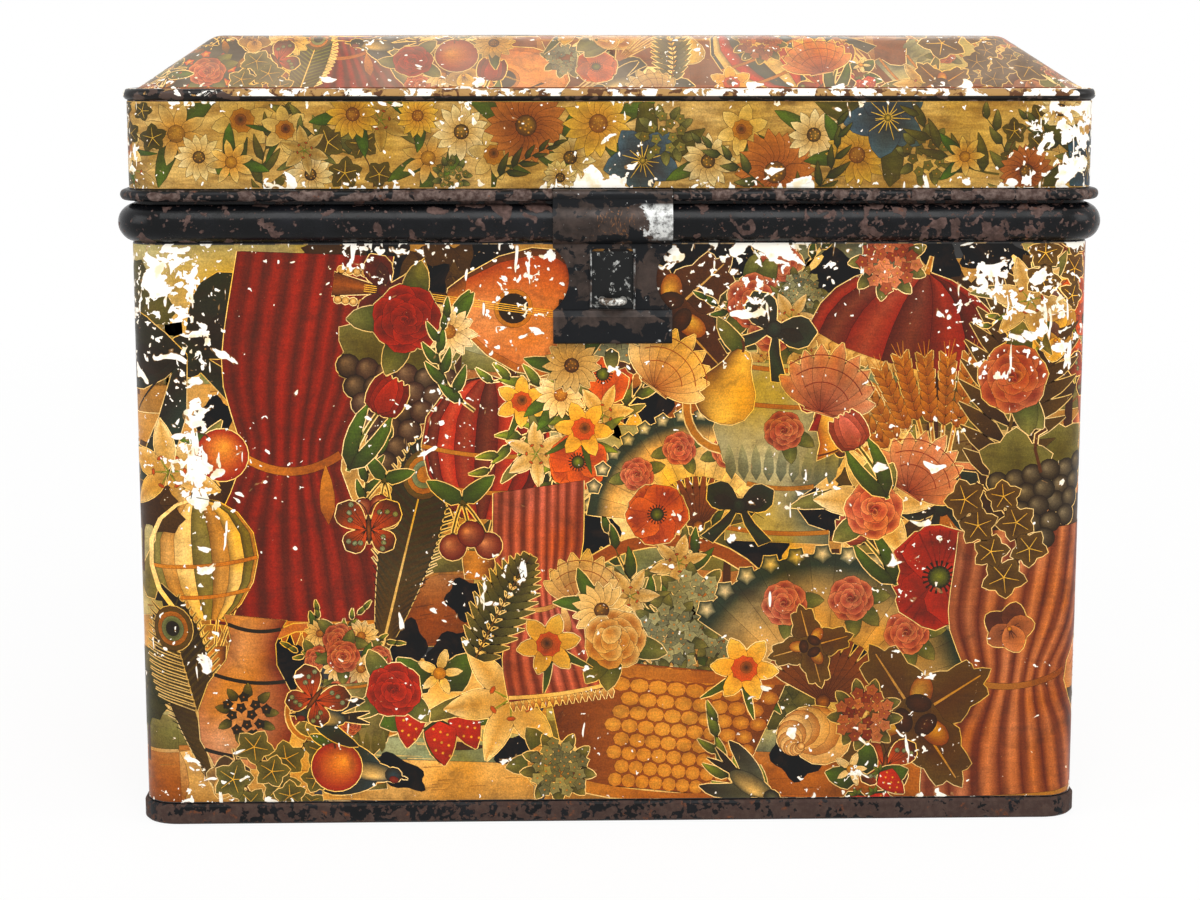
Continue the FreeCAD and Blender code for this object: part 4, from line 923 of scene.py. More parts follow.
@motif
def plume(scrap, size=130, eye="navy", light="lime", dark="teal", seed=0):
    h = size
    scrap.petal(0, -h * 0.48, QUARTER, h * 0.98, h * 0.22, "bronze", dark, belly=1.5, rows=10)
    for k in range(26):
        t = k / 26
        y, reach = h * (-0.45 + 0.82 * t), h * (0.05 + 0.11 * math.sin(math.pi * t ** 1.4))
        for side in (-1, 1):
            scrap.stroke([(0, y), (side * reach * 0.6, y + h * 0.06), (side * reach, y + h * 0.1)], h * 0.012,
                h * 0.003, blend("bronze", light, t), blend(dark, light, t), rows=4, cut=k > 8)
    scrap.stroke([(0, -h * 0.5), (0, h * 0.2)], h * 0.012, h * 0.006, "cream", rows=3, cut=True)
    for far, hue, rim in ((0.1, "lime", "bronze"), (0.078, "honey", "gold"), (0.056, "teal", "sky"),
            (0.033, eye, eye)):
        scrap.disc(0, h * 0.3, h * far * 0.85, hue, rim, h * far, cut=far > 0.09, segments=18)


@motif
def mandolin(scrap, size=130, light="flame", dark="brown", seed=0):
    h = size
    scrap.strip([(-h * 0.022, 0), (-h * 0.018, h * 0.36)], [(h * 0.022, 0), (h * 0.018, h * 0.36)],
        [["umber", "brown", "umber"]] * 2)
    scrap.strip([(-h * 0.02, h * 0.36), (-h * 0.045, h * 0.5)], [(h * 0.02, h * 0.36), (h * 0.045, h * 0.5)],
        [["brown", "honey", "brown"]] * 2)
    for k in range(4):
        for side in (-1, 1):
            scrap.disc(side * h * 0.058, h * (0.385 + 0.03 * k), h * 0.014, "cream", "tan", segments=8, rings=1)
    profile = [(-0.5, 0.05), (-0.485, 0.13), (-0.43, 0.2), (-0.34, 0.245), (-0.24, 0.24), (-0.12, 0.19), (0, 0.1),
        (0.06, 0.04)]
    scrap.turned([(y * h, x * h) for y, x in profile], blend(light, "lemon", 0.35), dark, columns=9)
    scrap.turned([(y * h * 0.97 - h * 0.006, x * h * 0.88) for y, x in profile[:-1]], blend(light, "cream", 0.45),
        blend(light, dark, 0.3), columns=9, cut=False)
    for far, hue in ((0.075, "gold"), (0.058, "black")):
        scrap.dot(0, -h * 0.2, h * far, hue, hue, 18)
    scrap.stroke([(-h * 0.06, -h * 0.38), (h * 0.06, -h * 0.38)], h * 0.02, colour="umber", rows=2)
    for x in (-0.012, -0.004, 0.004, 0.012):
        scrap.stroke([(x * h, -h * 0.38), (x * h, h * 0.38)], h * 0.003, colour="lemon", rows=2)
    scrap.join(bow_knot(h * 0.3, "crimson", "plum", seed=seed), 0, h * 0.3)


@motif
def fan(scrap, size=110, light="cream", dark="sky", edge="teal", seed=0):
    r = size * 0.62
    turns = np.linspace(0.35, math.pi - 0.35, 15)
    base = -r * 0.45
    for turn in turns:
        scrap.petal(0, base, turn, r * 0.62, r * 0.06, "brown", "honey", rows=3)
    for k, (start, end) in enumerate(zip(turns, turns[1:])):
        far = np.array([0.45, 0.6, 0.8, 0.93, 1.0])[:, None] * r
        sides = [np.array([[math.cos(turn), math.sin(turn)]]) * far + (0, base) for turn in (end, start)]
        tones = [blend(light, "white", 0.2), ink(light), blend(light, dark, 0.5), ink(edge), ink(edge)]
        fold = 0.8 if k % 2 else 1.08
        scrap.strip(*sides, np.stack([np.stack([tone * fold, tone * (0.95 if k % 2 else 0.85)]) for tone in tones]))
        x, y = math.cos((start + end) / 2) * r, math.sin((start + end) / 2) * r + base
        scrap.disc(x, y, r * 0.06, "white", edge, lobes=5, depth=0.15, segments=10, rings=1)
    for turn in (0.95, QUARTER, 2.19):
        scrap.join(rose(r * 0.3, leaves=3, seed=seed), math.cos(turn) * r * 0.72, math.sin(turn) * r * 0.72 + base)
    scrap.disc(0, base, r * 0.05, "gold", "brown", segments=8, rings=1)


@motif
def curtain(scrap, width=80, height=180, light="scarlet", dark="crimson", fringe="gold", folds=8, seed=0):
    """Cloth hanging in folds and tied at its waist with a tasselled cord."""
    t = np.linspace(0, 1, 15)
    waist = 1 - 0.42 * np.exp(-((t - 0.55) / 0.16) ** 2) + 0.18 * t ** 2
    sway = 0.12 * width * np.sin(t * 3.0 + seed)
    y = height * (0.5 - t)
    across = np.linspace(0, 1, folds * 4 + 1)
    crease = 0.5 + 0.5 * np.sin(across[None] * folds * 2 * np.pi + t[:, None] * 2.2 + 0.9 * np.sin(across * 9)[None])
    tone = np.clip(crease * (0.55 + 0.5 * np.sin(across * np.pi))[None] + scrap.rng.uniform(-0.07, 0.07,
        crease.shape), 0, 1)
    half = width / 2 * waist
    hem = blend(dark, "black", 0.35)
    for k in range(folds * 2):
        x = sway[-1] + half[-1] * (2 * (k + 0.5) / (folds * 2) - 1)
        scrap.petal(x, -height * 0.49, -QUARTER, height * 0.06, width * 0.06, fringe, "honey", rows=3)
    scrap.strip(np.stack([sway - half, y], 1), np.stack([sway + half, y], 1), blend(hem, light, tone))
    scrap.stroke([(sway[-1] - half[-1], -height * 0.48), (sway[-1], -height * 0.495),
        (sway[-1] + half[-1], -height * 0.48)], height * 0.018, colour=fringe, key="brown")
    at, wide = sway[8], half[8]
    scrap.stroke([(at - wide, -height * 0.04), (at, -height * 0.08), (at + wide, -height * 0.03)], height * 0.022,
        colour=fringe, tail="honey", key="umber")
    scrap.petal(at + wide * 0.7, -height * 0.06, -1.5, height * 0.16, width * 0.1, fringe, "honey", belly=1.4, rows=5,
        cut=False)


@motif
def cushion(scrap, size=78, light="blue", dark="navy", trim="gold", seed=0):
    r = size / 2
    for x, y, turn in spread(4, r * 1.0, QUARTER / 2):
        scrap.petal(x, y, turn, r * 0.42, r * 0.22, trim, "honey", belly=1.6, rows=4)
    scrap.disc(0, 0, r * 0.95, blend(light, "white", 0.15), dark, r * 0.82, QUARTER / 2, lobes=4, depth=0.16,
        segments=32, rings=4, lift=(-0.1, 0.2))
    for x, y, turn in spread(8, r * 0.5, 0.2):
        scrap.petal(x, y, turn + 0.9, r * 0.32, r * 0.13, "bronze", trim, rows=4, cut=False, key=None)
        scrap.disc(x * 0.8, y * 0.8, r * 0.08, "lemon", "scarlet", cut=False, lobes=5, depth=0.2, segments=10,
            rings=1)
    scrap.join(rose(r * 0.62, leaves=4, seed=seed), 0, 0)


@motif
def jug(scrap, size=70, light="cream", dark="slate", band="blue", seed=0):
    h = size
    scrap.stroke([(h * 0.15, h * 0.4), (h * 0.42, h * 0.36), (h * 0.36, -h * 0.05), (h * 0.22, -h * 0.16)], h * 0.05,
        colour=light, tail=dark, cut=True, rows=14)
    profile = [(-0.5, 0.18), (-0.46, 0.2), (-0.34, 0.28), (-0.15, 0.31), (0.04, 0.26), (0.2, 0.16), (0.34, 0.14),
        (0.44, 0.17), (0.5, 0.2)]
    scrap.turned([(y * h, x * h) for y, x in profile], blend(light, "white", 0.3), dark, columns=9)
    for y, wide in ((-0.4, 0.25), (0.1, 0.23), (0.44, 0.17)):
        scrap.stroke([(-h * wide, h * y), (0, h * (y - 0.03)), (h * wide, h * y)], h * 0.025, colour=band)
    scrap.join(posy(h * 0.36, band, "navy", count=11, seed=seed), 0, -h * 0.14)


@motif
def swallow(scrap, size=56, light="blue", dark="navy", seed=0):
    r = size / 2
    for side in (-1, 1):
        scrap.petal(-r * 0.2, side * r * 0.05, HALF + side * 0.22, r * 0.85, r * 0.13, dark, "black", rows=5)
    for side in (-1, 1):
        scrap.petal(r * 0.15, 0, QUARTER + side * 0.5 + (0.4 if side > 0 else 3.0), r * 1.15, r * 0.36, light, dark,
            belly=0.5, bend=0.55 * side, vein=0.3, rows=8)
    scrap.disc(0, 0, r * 0.5, "cream", blend(light, dark, 0.5), r * 0.2, 0.12, lift=(0.2, -0.5))
    scrap.disc(r * 0.46, r * 0.06, r * 0.17, light, dark, r * 0.15, segments=10, rings=2)
    scrap.disc(r * 0.5, -r * 0.03, r * 0.1, "brick", "crimson", r * 0.07, cut=False, segments=8, rings=1)
    scrap.petal(r * 0.6, r * 0.06, 0, r * 0.16, r * 0.05, "black", "umber", rows=3)


@motif
def horseshoe(scrap, size=60, seed=0):
    r = size / 2
    turn = np.linspace(-0.9, math.pi + 0.9, 18)
    ways = np.stack([np.cos(turn), np.sin(turn)], 1)
    scrap.strip(ways * r * 0.95, ways * r * 0.66, [["slate", "grey", "mist", "slate"]] * 18)
    for x, y in ways[2::2] * r * 0.8:
        scrap.dot(x, y, r * 0.045, "black", "umber", 6)
    for k, kind in enumerate((rose, daisy, pansy)):
        scrap.join(kind(r * 0.75, seed=seed + k), (k - 1) * r * 0.42, -r * 0.62 + (k % 2) * r * 0.12)


@motif
def bell(scrap, size=44, light="lemon", dark="honey", seed=0):
    h = size
    scrap.disc(0, -h * 0.44, h * 0.09, "honey", "umber", lift=(-0.3, 0.3))
    scrap.turned([(y * h, x * h) for y, x in ((-0.42, 0.4), (-0.36, 0.36), (-0.2, 0.25), (0.05, 0.2), (0.24, 0.17),
        (0.34, 0.09), (0.38, 0.03))], light, dark, columns=9)
    scrap.stroke([(-h * 0.37, -h * 0.36), (0, -h * 0.4), (h * 0.37, -h * 0.36)], h * 0.03, colour="brown")
    scrap.join(bow_knot(h * 0.7, "red", "crimson", seed=seed), 0, h * 0.38)


def tree(scrap, x, y, size, light="bronze", dark="pine", trunk="brown"):
    """A tree standing at a place in a printed view."""
    scrap.stroke([(x, y), (x + size * 0.03, y + size * 0.5)], size * 0.07, size * 0.04, trunk, "umber", rows=3)
    for k in range(16):
        far, turn = size * 0.3 * math.sqrt(k / 16), k * GOLDEN
        tone = scrap.rng.uniform(0, 1)
        scrap.disc(x + math.cos(turn) * far, y + size * 0.68 + math.sin(turn) * far * 0.9, size * 0.14,
            blend(dark, light, tone), blend(dark, light, tone * 0.5), size * 0.11, lobes=6, depth=0.12, segments=12,
            rings=2, lift=(-0.2, 0.3), cut=False, key=blend(dark, "black", 0.3))


@motif
def view(scrap, width, height, kind, sky, ground, far="mist", seed=0):
    """A printed view on a large cut-out: sky, hills, and a cottage, a lake with a boat, or woods."""
    w, h = width / 2, height / 2
    wave = np.random.default_rng(seed + 90)
    t = np.linspace(0, 1, 12)

    def side(sign):
        return np.stack([sign * w * (0.93 + 0.07 * np.sin(t * 11 + wave.uniform(0, 6))), h * (1 - 2 * t)], 1)

    haze = np.clip(t * 1.9, 0, 1)
    ground_tone = np.clip(t * 2.2 - 1.1, 0, 1)
    column = blend(sky[0], sky[1], haze)
    column = column * (1 - ground_tone[:, None]) + ink(ground) * ground_tone[:, None]
    noise = wave.uniform(0.9, 1.1, (12, 9, 1))
    scrap.strip(side(-1), side(1), column[:, None] * noise)
    across = np.linspace(-0.93, 0.93, 14)
    for base, rise, hue, low in ((0.12, 0.2, far, -0.1), (-0.02, 0.14, "sage", -0.3), (-0.28, 0.1, ground, -0.97)):
        top = base + rise * np.sin(across * wave.uniform(2, 4) + wave.uniform(0, 6)) * 0.6 + wave.uniform(-0.03, 0.03,
            14)
        tones = np.stack([blend(hue, "white", 0.18), ink(hue), blend(hue, "umber", 0.25)])
        scrap.strip(np.stack([across * w, top * h], 1), np.stack([across * w, np.full(14, low * h)], 1),
            tones[None] * wave.uniform(0.88, 1.12, (14, 1, 1)), cut=False, key=blend(hue, "umber", 0.5))
    for k in range(10):
        x, y = wave.uniform(-0.8, 0.8) * w, wave.uniform(-0.9, -0.35) * h
        scrap.stroke([(x, y), (x + w * 0.16, y + h * 0.02)], h * 0.015, h * 0.005, blend(ground, "brown", 0.5),
            rows=2)
    if kind == "lake":
        scrap.strip([(-w * 0.9, -h * 0.1), (-w * 0.9, -h * 0.4)], [(w * 0.9, -h * 0.1), (w * 0.9, -h * 0.42)],
            [["mist", "sky", "mist"], ["slate", "sky", "slate"]], cut=False)
        for k in range(8):
            x, y = wave.uniform(-0.8, 0.5) * w, wave.uniform(-0.4, -0.14) * h
            scrap.stroke([(x, y), (x + w * 0.25, y)], h * 0.012, h * 0.004, "cream", rows=2)
        x = wave.uniform(-0.3, 0.3) * w
        scrap.petal(x - w * 0.2, -h * 0.2, 0, w * 0.4, h * 0.11, "brown", "umber", cut=False)
        for lean in (-1, 1):
            scrap.strip([(x, h * 0.4), (x, -h * 0.14)], [(x + lean * w * 0.03, h * 0.38),
                (x + lean * w * 0.17, -h * 0.12)], [["cream", "tan"], ["paper", "sand"]], cut=False)
    elif kind == "cottage":
        x, y = wave.uniform(-0.3, 0.2) * w, -h * 0.3
        scrap.strip([(x - w * 0.25, y), (x - w * 0.25, y + h * 0.32)],
            [(x + w * 0.3, y), (x + w * 0.3, y + h * 0.32)], [["cream", "sand", "tan"]] * 2, cut=False)
        scrap.strip([(x - w * 0.32, y + h * 0.3), (x - w * 0.18, y + h * 0.56)],
            [(x + w * 0.37, y + h * 0.3), (x + w * 0.22, y + h * 0.56)], [["honey", "brown"], ["brown", "umber"]],
            cut=False)
        for dx in (-0.15, 0.08, 0.2):
            scrap.strip([(x + w * dx, y + h * 0.1), (x + w * dx, y + h * 0.22)],
                [(x + w * (dx + 0.06), y + h * 0.1), (x + w * (dx + 0.06), y + h * 0.22)], [["umber", "brown"]] * 2,
                cut=False)
        tree(scrap, x + w * 0.55, -h * 0.4, h * 1.1)
    if kind == "woods":
        for k in range(4):
            tree(scrap, (k * 0.45 - 0.68) * w, -h * (0.35 + 0.12 * (k % 2)), h * 1.3, light="bronze", dark="umber")
    else:
        tree(scrap, -w * 0.7, -h * 0.5, h * 1.25, light="sage")


# Finishes

WHITE = (1.0, 1.0, 1.0, 1.0)
CAD_HEIGHT = 0.385  # metres, over which the wear by height is spread
FRONT = -0.166  # metres, the front of the paper
FADE = 20  # per metre, how fast the worn places of the front fade in depth
COOL_VARNISH = "#d8c87a"  # the thin varnish over the lid's band
# How worn the paper is at each height in metres, from the foot over body, bead, band and lip to the crown
WORN_HEIGHTS = ((0.0106, 0.6), (0.016, 0.1), (0.24, 0.1), (0.272, 0.55), (0.2857, 1.0), (0.3118, 1.25), (0.3175, 0.6),
                (0.322, 0.1), (0.343, 0.15), (0.353, 0.9), (0.36, 0.8), (0.367, 0.1), (0.383, 0.2))
# The most worn places of the front: middle across and up, reach across and up, all in metres, and level
WORN_PLACES = ((-0.21, 0.272, 0.036, 0.034, 2.0), (-0.2, 0.19, 0.014, 0.11, 1.6), (0.19, 0.262, 0.055, 0.045, 1.6),
               (0.222, 0.335, 0.035, 0.04, 1.7), (-0.228, 0.335, 0.02, 0.04, 1.2), (0.06, 0.268, 0.03, 0.03, 1.0))


def node(tree, kind, *values, stops=(), **named):
    """Adds one node with its settings and links, and gives its first output.

    A kind may be followed by its operation or data type. Values go to the open sockets in order, capitalised names
    are sockets and the others are settings.
    """
    kind, _, mode = kind.partition(" ")
    made = tree.nodes.new("ShaderNode" + kind)
    if mode:
        setattr(made, "data_type" if kind == "Mix" else "operation", mode)
    for name, value in named.items():
        if name[0].islower():
            setattr(made, name, value)
    pairs = [(made.inputs[name.replace("_", " ")], value) for name, value in named.items() if name[0].isupper()]
    for socket, value in [*zip([socket for socket in made.inputs if socket.enabled], values), *pairs]:
        if isinstance(value, bpy.types.NodeSocket):
            tree.links.new(value, socket)
        else:
            socket.default_value = value
    if stops:
        elements = made.color_ramp.elements
        while len(elements) < len(stops):
            elements.new(0.5)
        for element, (at, level) in zip(elements, stops):
            element.position, element.color = at, (level, level, level, 1)
    return next((socket for socket in made.outputs if socket.enabled), None)


def blank(owner):
    """Clears the nodes of a new material or world and gives what adds nodes to it."""
    owner.use_nodes = True
    owner.node_tree.nodes.clear()
    return partial(node, owner.node_tree)


def begin(name):
    """Starts a material: itself, what adds nodes to it and the place on the box that its patterns follow."""
    material = bpy.data.materials.new(name)
    add = blank(material)
    return material, add, add("TexCoord").node.outputs["Object"]


def seen(add):
    """Whether the camera, a reflection or a look through something sees the surface."""
    path = add("LightPath").node.outputs
    either = add("Math MAXIMUM", path["Is Camera Ray"], path["Is Glossy Ray"])
    return add("Math MAXIMUM", either, path["Is Transmission Ray"])


def mottle(add, place, size, detail=2.0, roughness=0.5, warp=0.0, moved=0.0, stretch=(1.0, 1.0, 1.0), cut=()):
    """Cloudy patches of a size in millimetres, moved or stretched so that no two agree, and cut to some levels."""
    if moved or stretch != (1.0, 1.0, 1.0):
        place = add("Mapping", place, Location=(moved,) * 3, Scale=stretch)
    patches = add("TexNoise", place, 1 / (size * MM), detail, roughness, Distortion=warp)
    return add("MapRange", patches, *cut) if cut else patches


def losses(add, place, amount):
    """Flaked patches: crisp chips in clusters, along the edges and worst at the corners. Gives loss and its rim."""
    height = add("SeparateXYZ", place).node.outputs["Z"]
    worn = add("ValToRGB", add("Math DIVIDE", height, CAD_HEIGHT),
        stops=[(at / CAD_HEIGHT, level) for at, level in WORN_HEIGHTS])
    for x, z, wide, high, level in WORN_PLACES:
        off = add("VectorMath MULTIPLY", place, (1 / wide, FADE, 1 / high))
        off = add("VectorMath DISTANCE", off, (x / wide, FRONT * FADE, z / high))
        worn = add("Math MAXIMUM", worn, add("MapRange", off, 1.2, 0.2, 0.0, level))
    cluster = mottle(add, place, 50, moved=0.3, cut=(0.42, 0.68, 0.0, 0.115))
    worn = add("Math MULTIPLY", worn, 0.115 * amount)
    ease = add("Math SUBTRACT", 0.775, add("Math ADD", cluster, worn))
    # patches of 10 mm, chips of 4 mm and upright runs
    patch = mottle(add, place, 10, 3.0, 0.45, 0.5, stretch=(0.8, 0.8, 1.1))
    chips = mottle(add, place, 3.8, 2.0, 0.5, 0.4, moved=0.7)
    chips = add("Math SUBTRACT", chips, 0.005)
    runs = mottle(add, place, 4.5, 2.5, 0.5, 0.3, moved=0.15, stretch=(1.0, 1.0, 0.22))
    runs = add("Math SUBTRACT", runs, 0.045)
    beyond = add("Math MAXIMUM", add("Math MAXIMUM", patch, chips), runs)
    beyond = add("Math SUBTRACT", beyond, ease)
    return add("MapRange", beyond, 0.0, 0.005), add("MapRange", beyond, -0.016, -0.003)


def printed_paper(name, settings, source, streak=0.10, varnish=None, level=1.9, painted_sheen=0.0):
    """Colour-printed paper, varnished and yellowed: satin gloss, stippled ink, fibres, crisp flaked losses, a painted
    sheen if asked.
    """
    material, add, place = begin(name)
    # stipple of the print, drawn coarser than the real 0.2 mm so that it shows
    stipple = mottle(add, place, 0.8, 2.0, 0.7, cut=(0.3, 0.7, 0.82, 1.15))
    fibre = mottle(add, place, 2.2, 5.0, 0.65, stretch=(0.16, 0.16, 1.0), cut=(0.3, 0.7, 1 - streak, 1 + streak))
    tone = add("Math MULTIPLY", stipple, fibre)
    tone = add("CombineColor", tone, tone, tone)
    colour = add("Mix RGBA", 1.0, source(add, place), tone, blend_type="MULTIPLY")
    # age deepens the inks: darks sink, reds and ochres glow through the amber varnish
    colour = add("VectorMath SCALE", add("Gamma", colour, 1.7), level)
    amber = mottle(add, place, 38, 3.0, cut=(0.3, 0.7, 0.45, 1.0))
    colour = add("Mix RGBA", amber, colour, varnish or settings.varnish[:], blend_type="MULTIPLY")
    grime = mottle(add, place, 14, 6.0, 0.7, 0.5, moved=0.5, cut=(0.5, 0.74, 0.0, 0.6))
    colour = add("Mix RGBA", grime, colour, shade("#2e1a0c"))
    if painted_sheen:
        # painted sheen: patches of pale haze standing in for the bright studio reflected in the glossy varnish
        sheen_patches = mottle(add, place, 45, 4.0, 0.6, 0.5, cut=(0.35, 0.65, 0.4 * painted_sheen, painted_sheen))
        colour = add("Mix RGBA", sheen_patches, colour, shade("#dcc4aa"))
    loss, rim = losses(add, place, settings.losses)
    scuff = mottle(add, place, 1.6)
    scuff = add("Mix RGBA", scuff, shade("#8d5a30"), shade("#cf9f5e"))
    rim = add("Math MULTIPLY", rim, 0.6)
    colour = add("Mix RGBA", rim, colour, scuff)
    stain = mottle(add, place, 6, 4.0, moved=0.9, cut=(0.54, 0.66, 0.0, 0.75))
    bare = add("Mix RGBA", stain, settings.backing[:], shade("#ecd6a4"))
    colour = add("Mix RGBA", loss, colour, bare)
    satin = mottle(add, place, 6, 4.0, cut=(0.3, 0.7, 0.3, 0.5))
    satin = add("Math ADD", satin, add("Math MULTIPLY", loss, 0.35))
    height = add("Math SUBTRACT", add("Math MULTIPLY", fibre, 0.35), loss)
    shader = add("BsdfPrincipled", colour, Roughness=satin, Coat_Weight=0.05, Coat_Roughness=0.2,
        Specular_IOR_Level=0.2, Normal=add("Bump", 0.5, 0.12 * MM, Height=height))
    add("OutputMaterial", shader)
    return material


def japan(name, settings, wear=0.0, gloss=0.2, lighter=None, patch=11.0, bared=1.0):
    """Tinplate under baked black japan: deep gloss where it holds, dull mauve-brown rust where it has gone."""
    material, add, place = begin(name)
    apart = add("SeparateXYZ", place).node.outputs
    drift = mottle(add, place, 60, moved=0.2)
    drift = add("Math MULTIPLY", add("Math SUBTRACT", drift, 0.5), 0.35)
    worn = mottle(add, place, patch, 3.5, 0.5, 0.4)
    worn = add("Math ADD", worn, drift)
    specks = add("Math SUBTRACT", mottle(add, place, 2.4, 3.0), 0.045)
    # more of it has gone on the right, and less above the bared edge
    beyond = add("Math ADD", add("Math MAXIMUM", worn, specks), add("MapRange", apart["X"], 0.02, 0.12, 0.0, 0.06))
    beyond = add("Math SUBTRACT", beyond, add("MapRange", apart["Z"], bared - 0.001, bared, 0.0, 0.07))
    rusted = add("MapRange", beyond, 0.645 - wear * 0.16, 0.655 - wear * 0.16)
    rim = add("MapRange", beyond, 0.63 - wear * 0.16, 0.64 - wear * 0.16, 0.0, 0.5)
    crust = mottle(add, place, 3, 6.0, 0.7, cut=(0.42, 0.66))
    rust = add("Mix RGBA", crust, settings.rust[:], lighter or shade("#66504a"))
    fresh = mottle(add, place, 5, 4.0, 0.6, moved=0.4, cut=(0.62, 0.7, 0.0, 0.6))
    rust = add("Mix RGBA", fresh, rust, shade("#7a4322"))
    cloud = mottle(add, place, 20, 5.0, cut=(0.45, 0.75))
    black = add("Mix RGBA", cloud, settings.japan[:], shade("#15161a"))
    black = add("Mix RGBA", rim, black, shade("#241a18"))
    polish = mottle(add, place, 7, 5.0, cut=(0.3, 0.7, gloss, gloss + 0.16))
    dull = add("Math MULTIPLY", rusted, 0.38)
    height = add("Math SUBTRACT", mottle(add, place, 1.2, 4.0, 0.6), rusted)
    shader = add("BsdfPrincipled", add("Mix RGBA", rusted, black, rust), Roughness=add("Math ADD", polish, dull),
        Specular_IOR_Level=0.17, Normal=add("Bump", 0.35, 0.15 * MM, Height=height))
    add("OutputMaterial", shader)
    return material


def worn_iron(name):
    """The hasp: sheet iron, painted coat mostly gone, rusty, rubbed bright by hands; with painted shade and
    highlight.
    """
    material, add, place = begin(name)
    apart = add("SeparateXYZ", place).node.outputs
    brown = mottle(add, place, 9, 7.0, 0.66, 0.4, cut=(0.38, 0.66))
    brown = add("Mix RGBA", brown, shade("#261e1a"), shade("#463933"))
    scratch = mottle(add, place, 1.5, 6.0, 0.65, 0.8, moved=0.25, stretch=(1.0, 1.0, 0.35))
    # orange rust around the middle of the bulge
    heart = add("VectorMath DISTANCE", place, (0.003, -0.17, 0.2935))
    heart = add("Math SUBTRACT", 1.0, add("Math DIVIDE", heart, 0.022))
    heart = add("Math MULTIPLY", add("Math MAXIMUM", heart, -0.5), 0.16)
    orange = add("MapRange", add("Math ADD", heart, scratch), 0.66, 0.74, 0.0, 0.9)
    brown = add("Mix RGBA", orange, brown, shade("#7d5230"))
    # blue-black paint kept in the grooves, under the cover and along the finger bar's foot, doubling as painted shade
    # there
    held = add("ValToRGB", add("MapRange", apart["Z"], 0.2375, 0.3125),
        stops=((0.0, 0.16), (0.1, 0.12), (0.15, 0.0), (0.2, 0.0), (0.24, 0.12), (0.36, 0.0), (0.5, 0.02), (0.6, 0.13),
        (0.68, 0.1), (0.76, 0.0), (0.86, 0.03), (0.92, 0.16), (1.0, 0.0)))
    paint_and_shade = mottle(add, place, 11, 7.0, 0.6, 0.4, moved=0.6)
    paint_and_shade = add("MapRange", add("Math ADD", paint_and_shade, held), 0.575, 0.59)
    colour = add("Mix RGBA", paint_and_shade, brown, shade("#07090d"))
    # one corner of the cover is rubbed bright, with bright dots all over
    away = add("VectorMath DISTANCE", place, (0.0265, -0.17, 0.2975))
    away = add("Math DIVIDE", away, 0.04)
    rubbed = mottle(add, place, 6, 7.0, 0.6, 0.4, moved=0.1)
    rubbed = add("MapRange", add("Math SUBTRACT", rubbed, away), 0.17, 0.2)
    between = add("Math MULTIPLY", add("MapRange", apart["Z"], 0.305, 0.3035),
        add("MapRange", apart["Z"], 0.287, 0.289))
    rubbed = add("Math MULTIPLY", rubbed, between)
    dots = mottle(add, place, 2.4, 3.0, 0.55, moved=0.35, cut=(0.7, 0.715))
    # the window's sides are bright steel: edge wear, and a painted highlight where their edges catch the light
    off = add("Math SUBTRACT", add("Math ABSOLUTE", apart["X"]), 0.0102)
    off = add("MapRange", add("Math ABSOLUTE", off), 0.0007, 0.0005)
    sill = add("Math MULTIPLY", add("MapRange", apart["Z"], 0.254, 0.2545),
        add("MapRange", apart["Z"], 0.2832, 0.2828))
    broken = mottle(add, place, 4, 4.0, cut=(0.48, 0.62, 0.0, 0.6))
    edge = add("Math MULTIPLY", add("Math MULTIPLY", off, sill), broken)
    bright = add("Math MAXIMUM", add("Math MAXIMUM", rubbed, dots), edge)
    steel = mottle(add, place, 2.6, 5.0, 0.7, moved=0.8, cut=(0.4, 0.56))
    steel = add("Mix RGBA", steel, shade("#70706e"), shade("#cfd0cd"))
    rough = mottle(add, place, 5, 5.0, cut=(0.3, 0.7, 0.32, 0.55))
    height = add("Math SUBTRACT", mottle(add, place, 2.2, 6.0, 0.65), add("Math MULTIPLY", bright, 0.5))
    shader = add("BsdfPrincipled", add("Mix RGBA", bright, colour, steel), 0.2, rough, Specular_IOR_Level=0.25,
        Normal=add("Bump", 0.45, 0.2 * MM, Height=height))
    add("OutputMaterial", shader)
    return material


def rubbed_tin_and_glints(name, dark, light, share):
    """Tinned iron with its painted coat flaked to bright grey in mottled spots that also serve as painted glints."""
    material, add, place = begin(name)
    # pale spots over the dark metal: bare tin where the coat has flaked, and painted glints
    spots = mottle(add, place, 5, 7.0, 0.66, 0.4, moved=0.55, cut=(0.66 - share, 0.675 - share))
    bright = mottle(add, place, 1.4, 4.0, cut=(0.42, 0.6))
    bright = add("Mix RGBA", bright, shade("#5f5e5a"), shade(light))
    height = mottle(add, place, 1.5, 4.0)
    shader = add("BsdfPrincipled", add("Mix RGBA", spots, shade(dark), bright), 0.3, 0.35, Specular_IOR_Level=0.4,
        Normal=add("Bump", 0.4, 0.15 * MM, Height=height))
    add("OutputMaterial", shader)
    return material


def ground(name, settings):
    """The tin under the cut-outs: old black japan with scraps of pasted paper left on it."""
    material, add, place = begin(name)
    left = mottle(add, place, 16, 8.0, 0.62, 0.5, cut=(0.56, 0.575))
    paper = mottle(add, place, 5, 5.0, 0.6, cut=(0.4, 0.66))
    paper = add("Mix RGBA", paper, shade("#b08f5c"), shade("#6f5230"))
    colour = add("Mix RGBA", left, shade("#1a1714"), paper)
    loss, _ = losses(add, place, settings.losses)
    colour = add("Mix RGBA", loss, colour, settings.backing[:])
    height = add("Math ADD", left, loss)
    shader = add("BsdfPrincipled", colour, Roughness=0.4, Coat_Weight=0.2, Coat_Roughness=0.25,
        Normal=add("Bump", 0.4, 0.1 * MM, Height=height))
    add("OutputMaterial", shader)
    return material


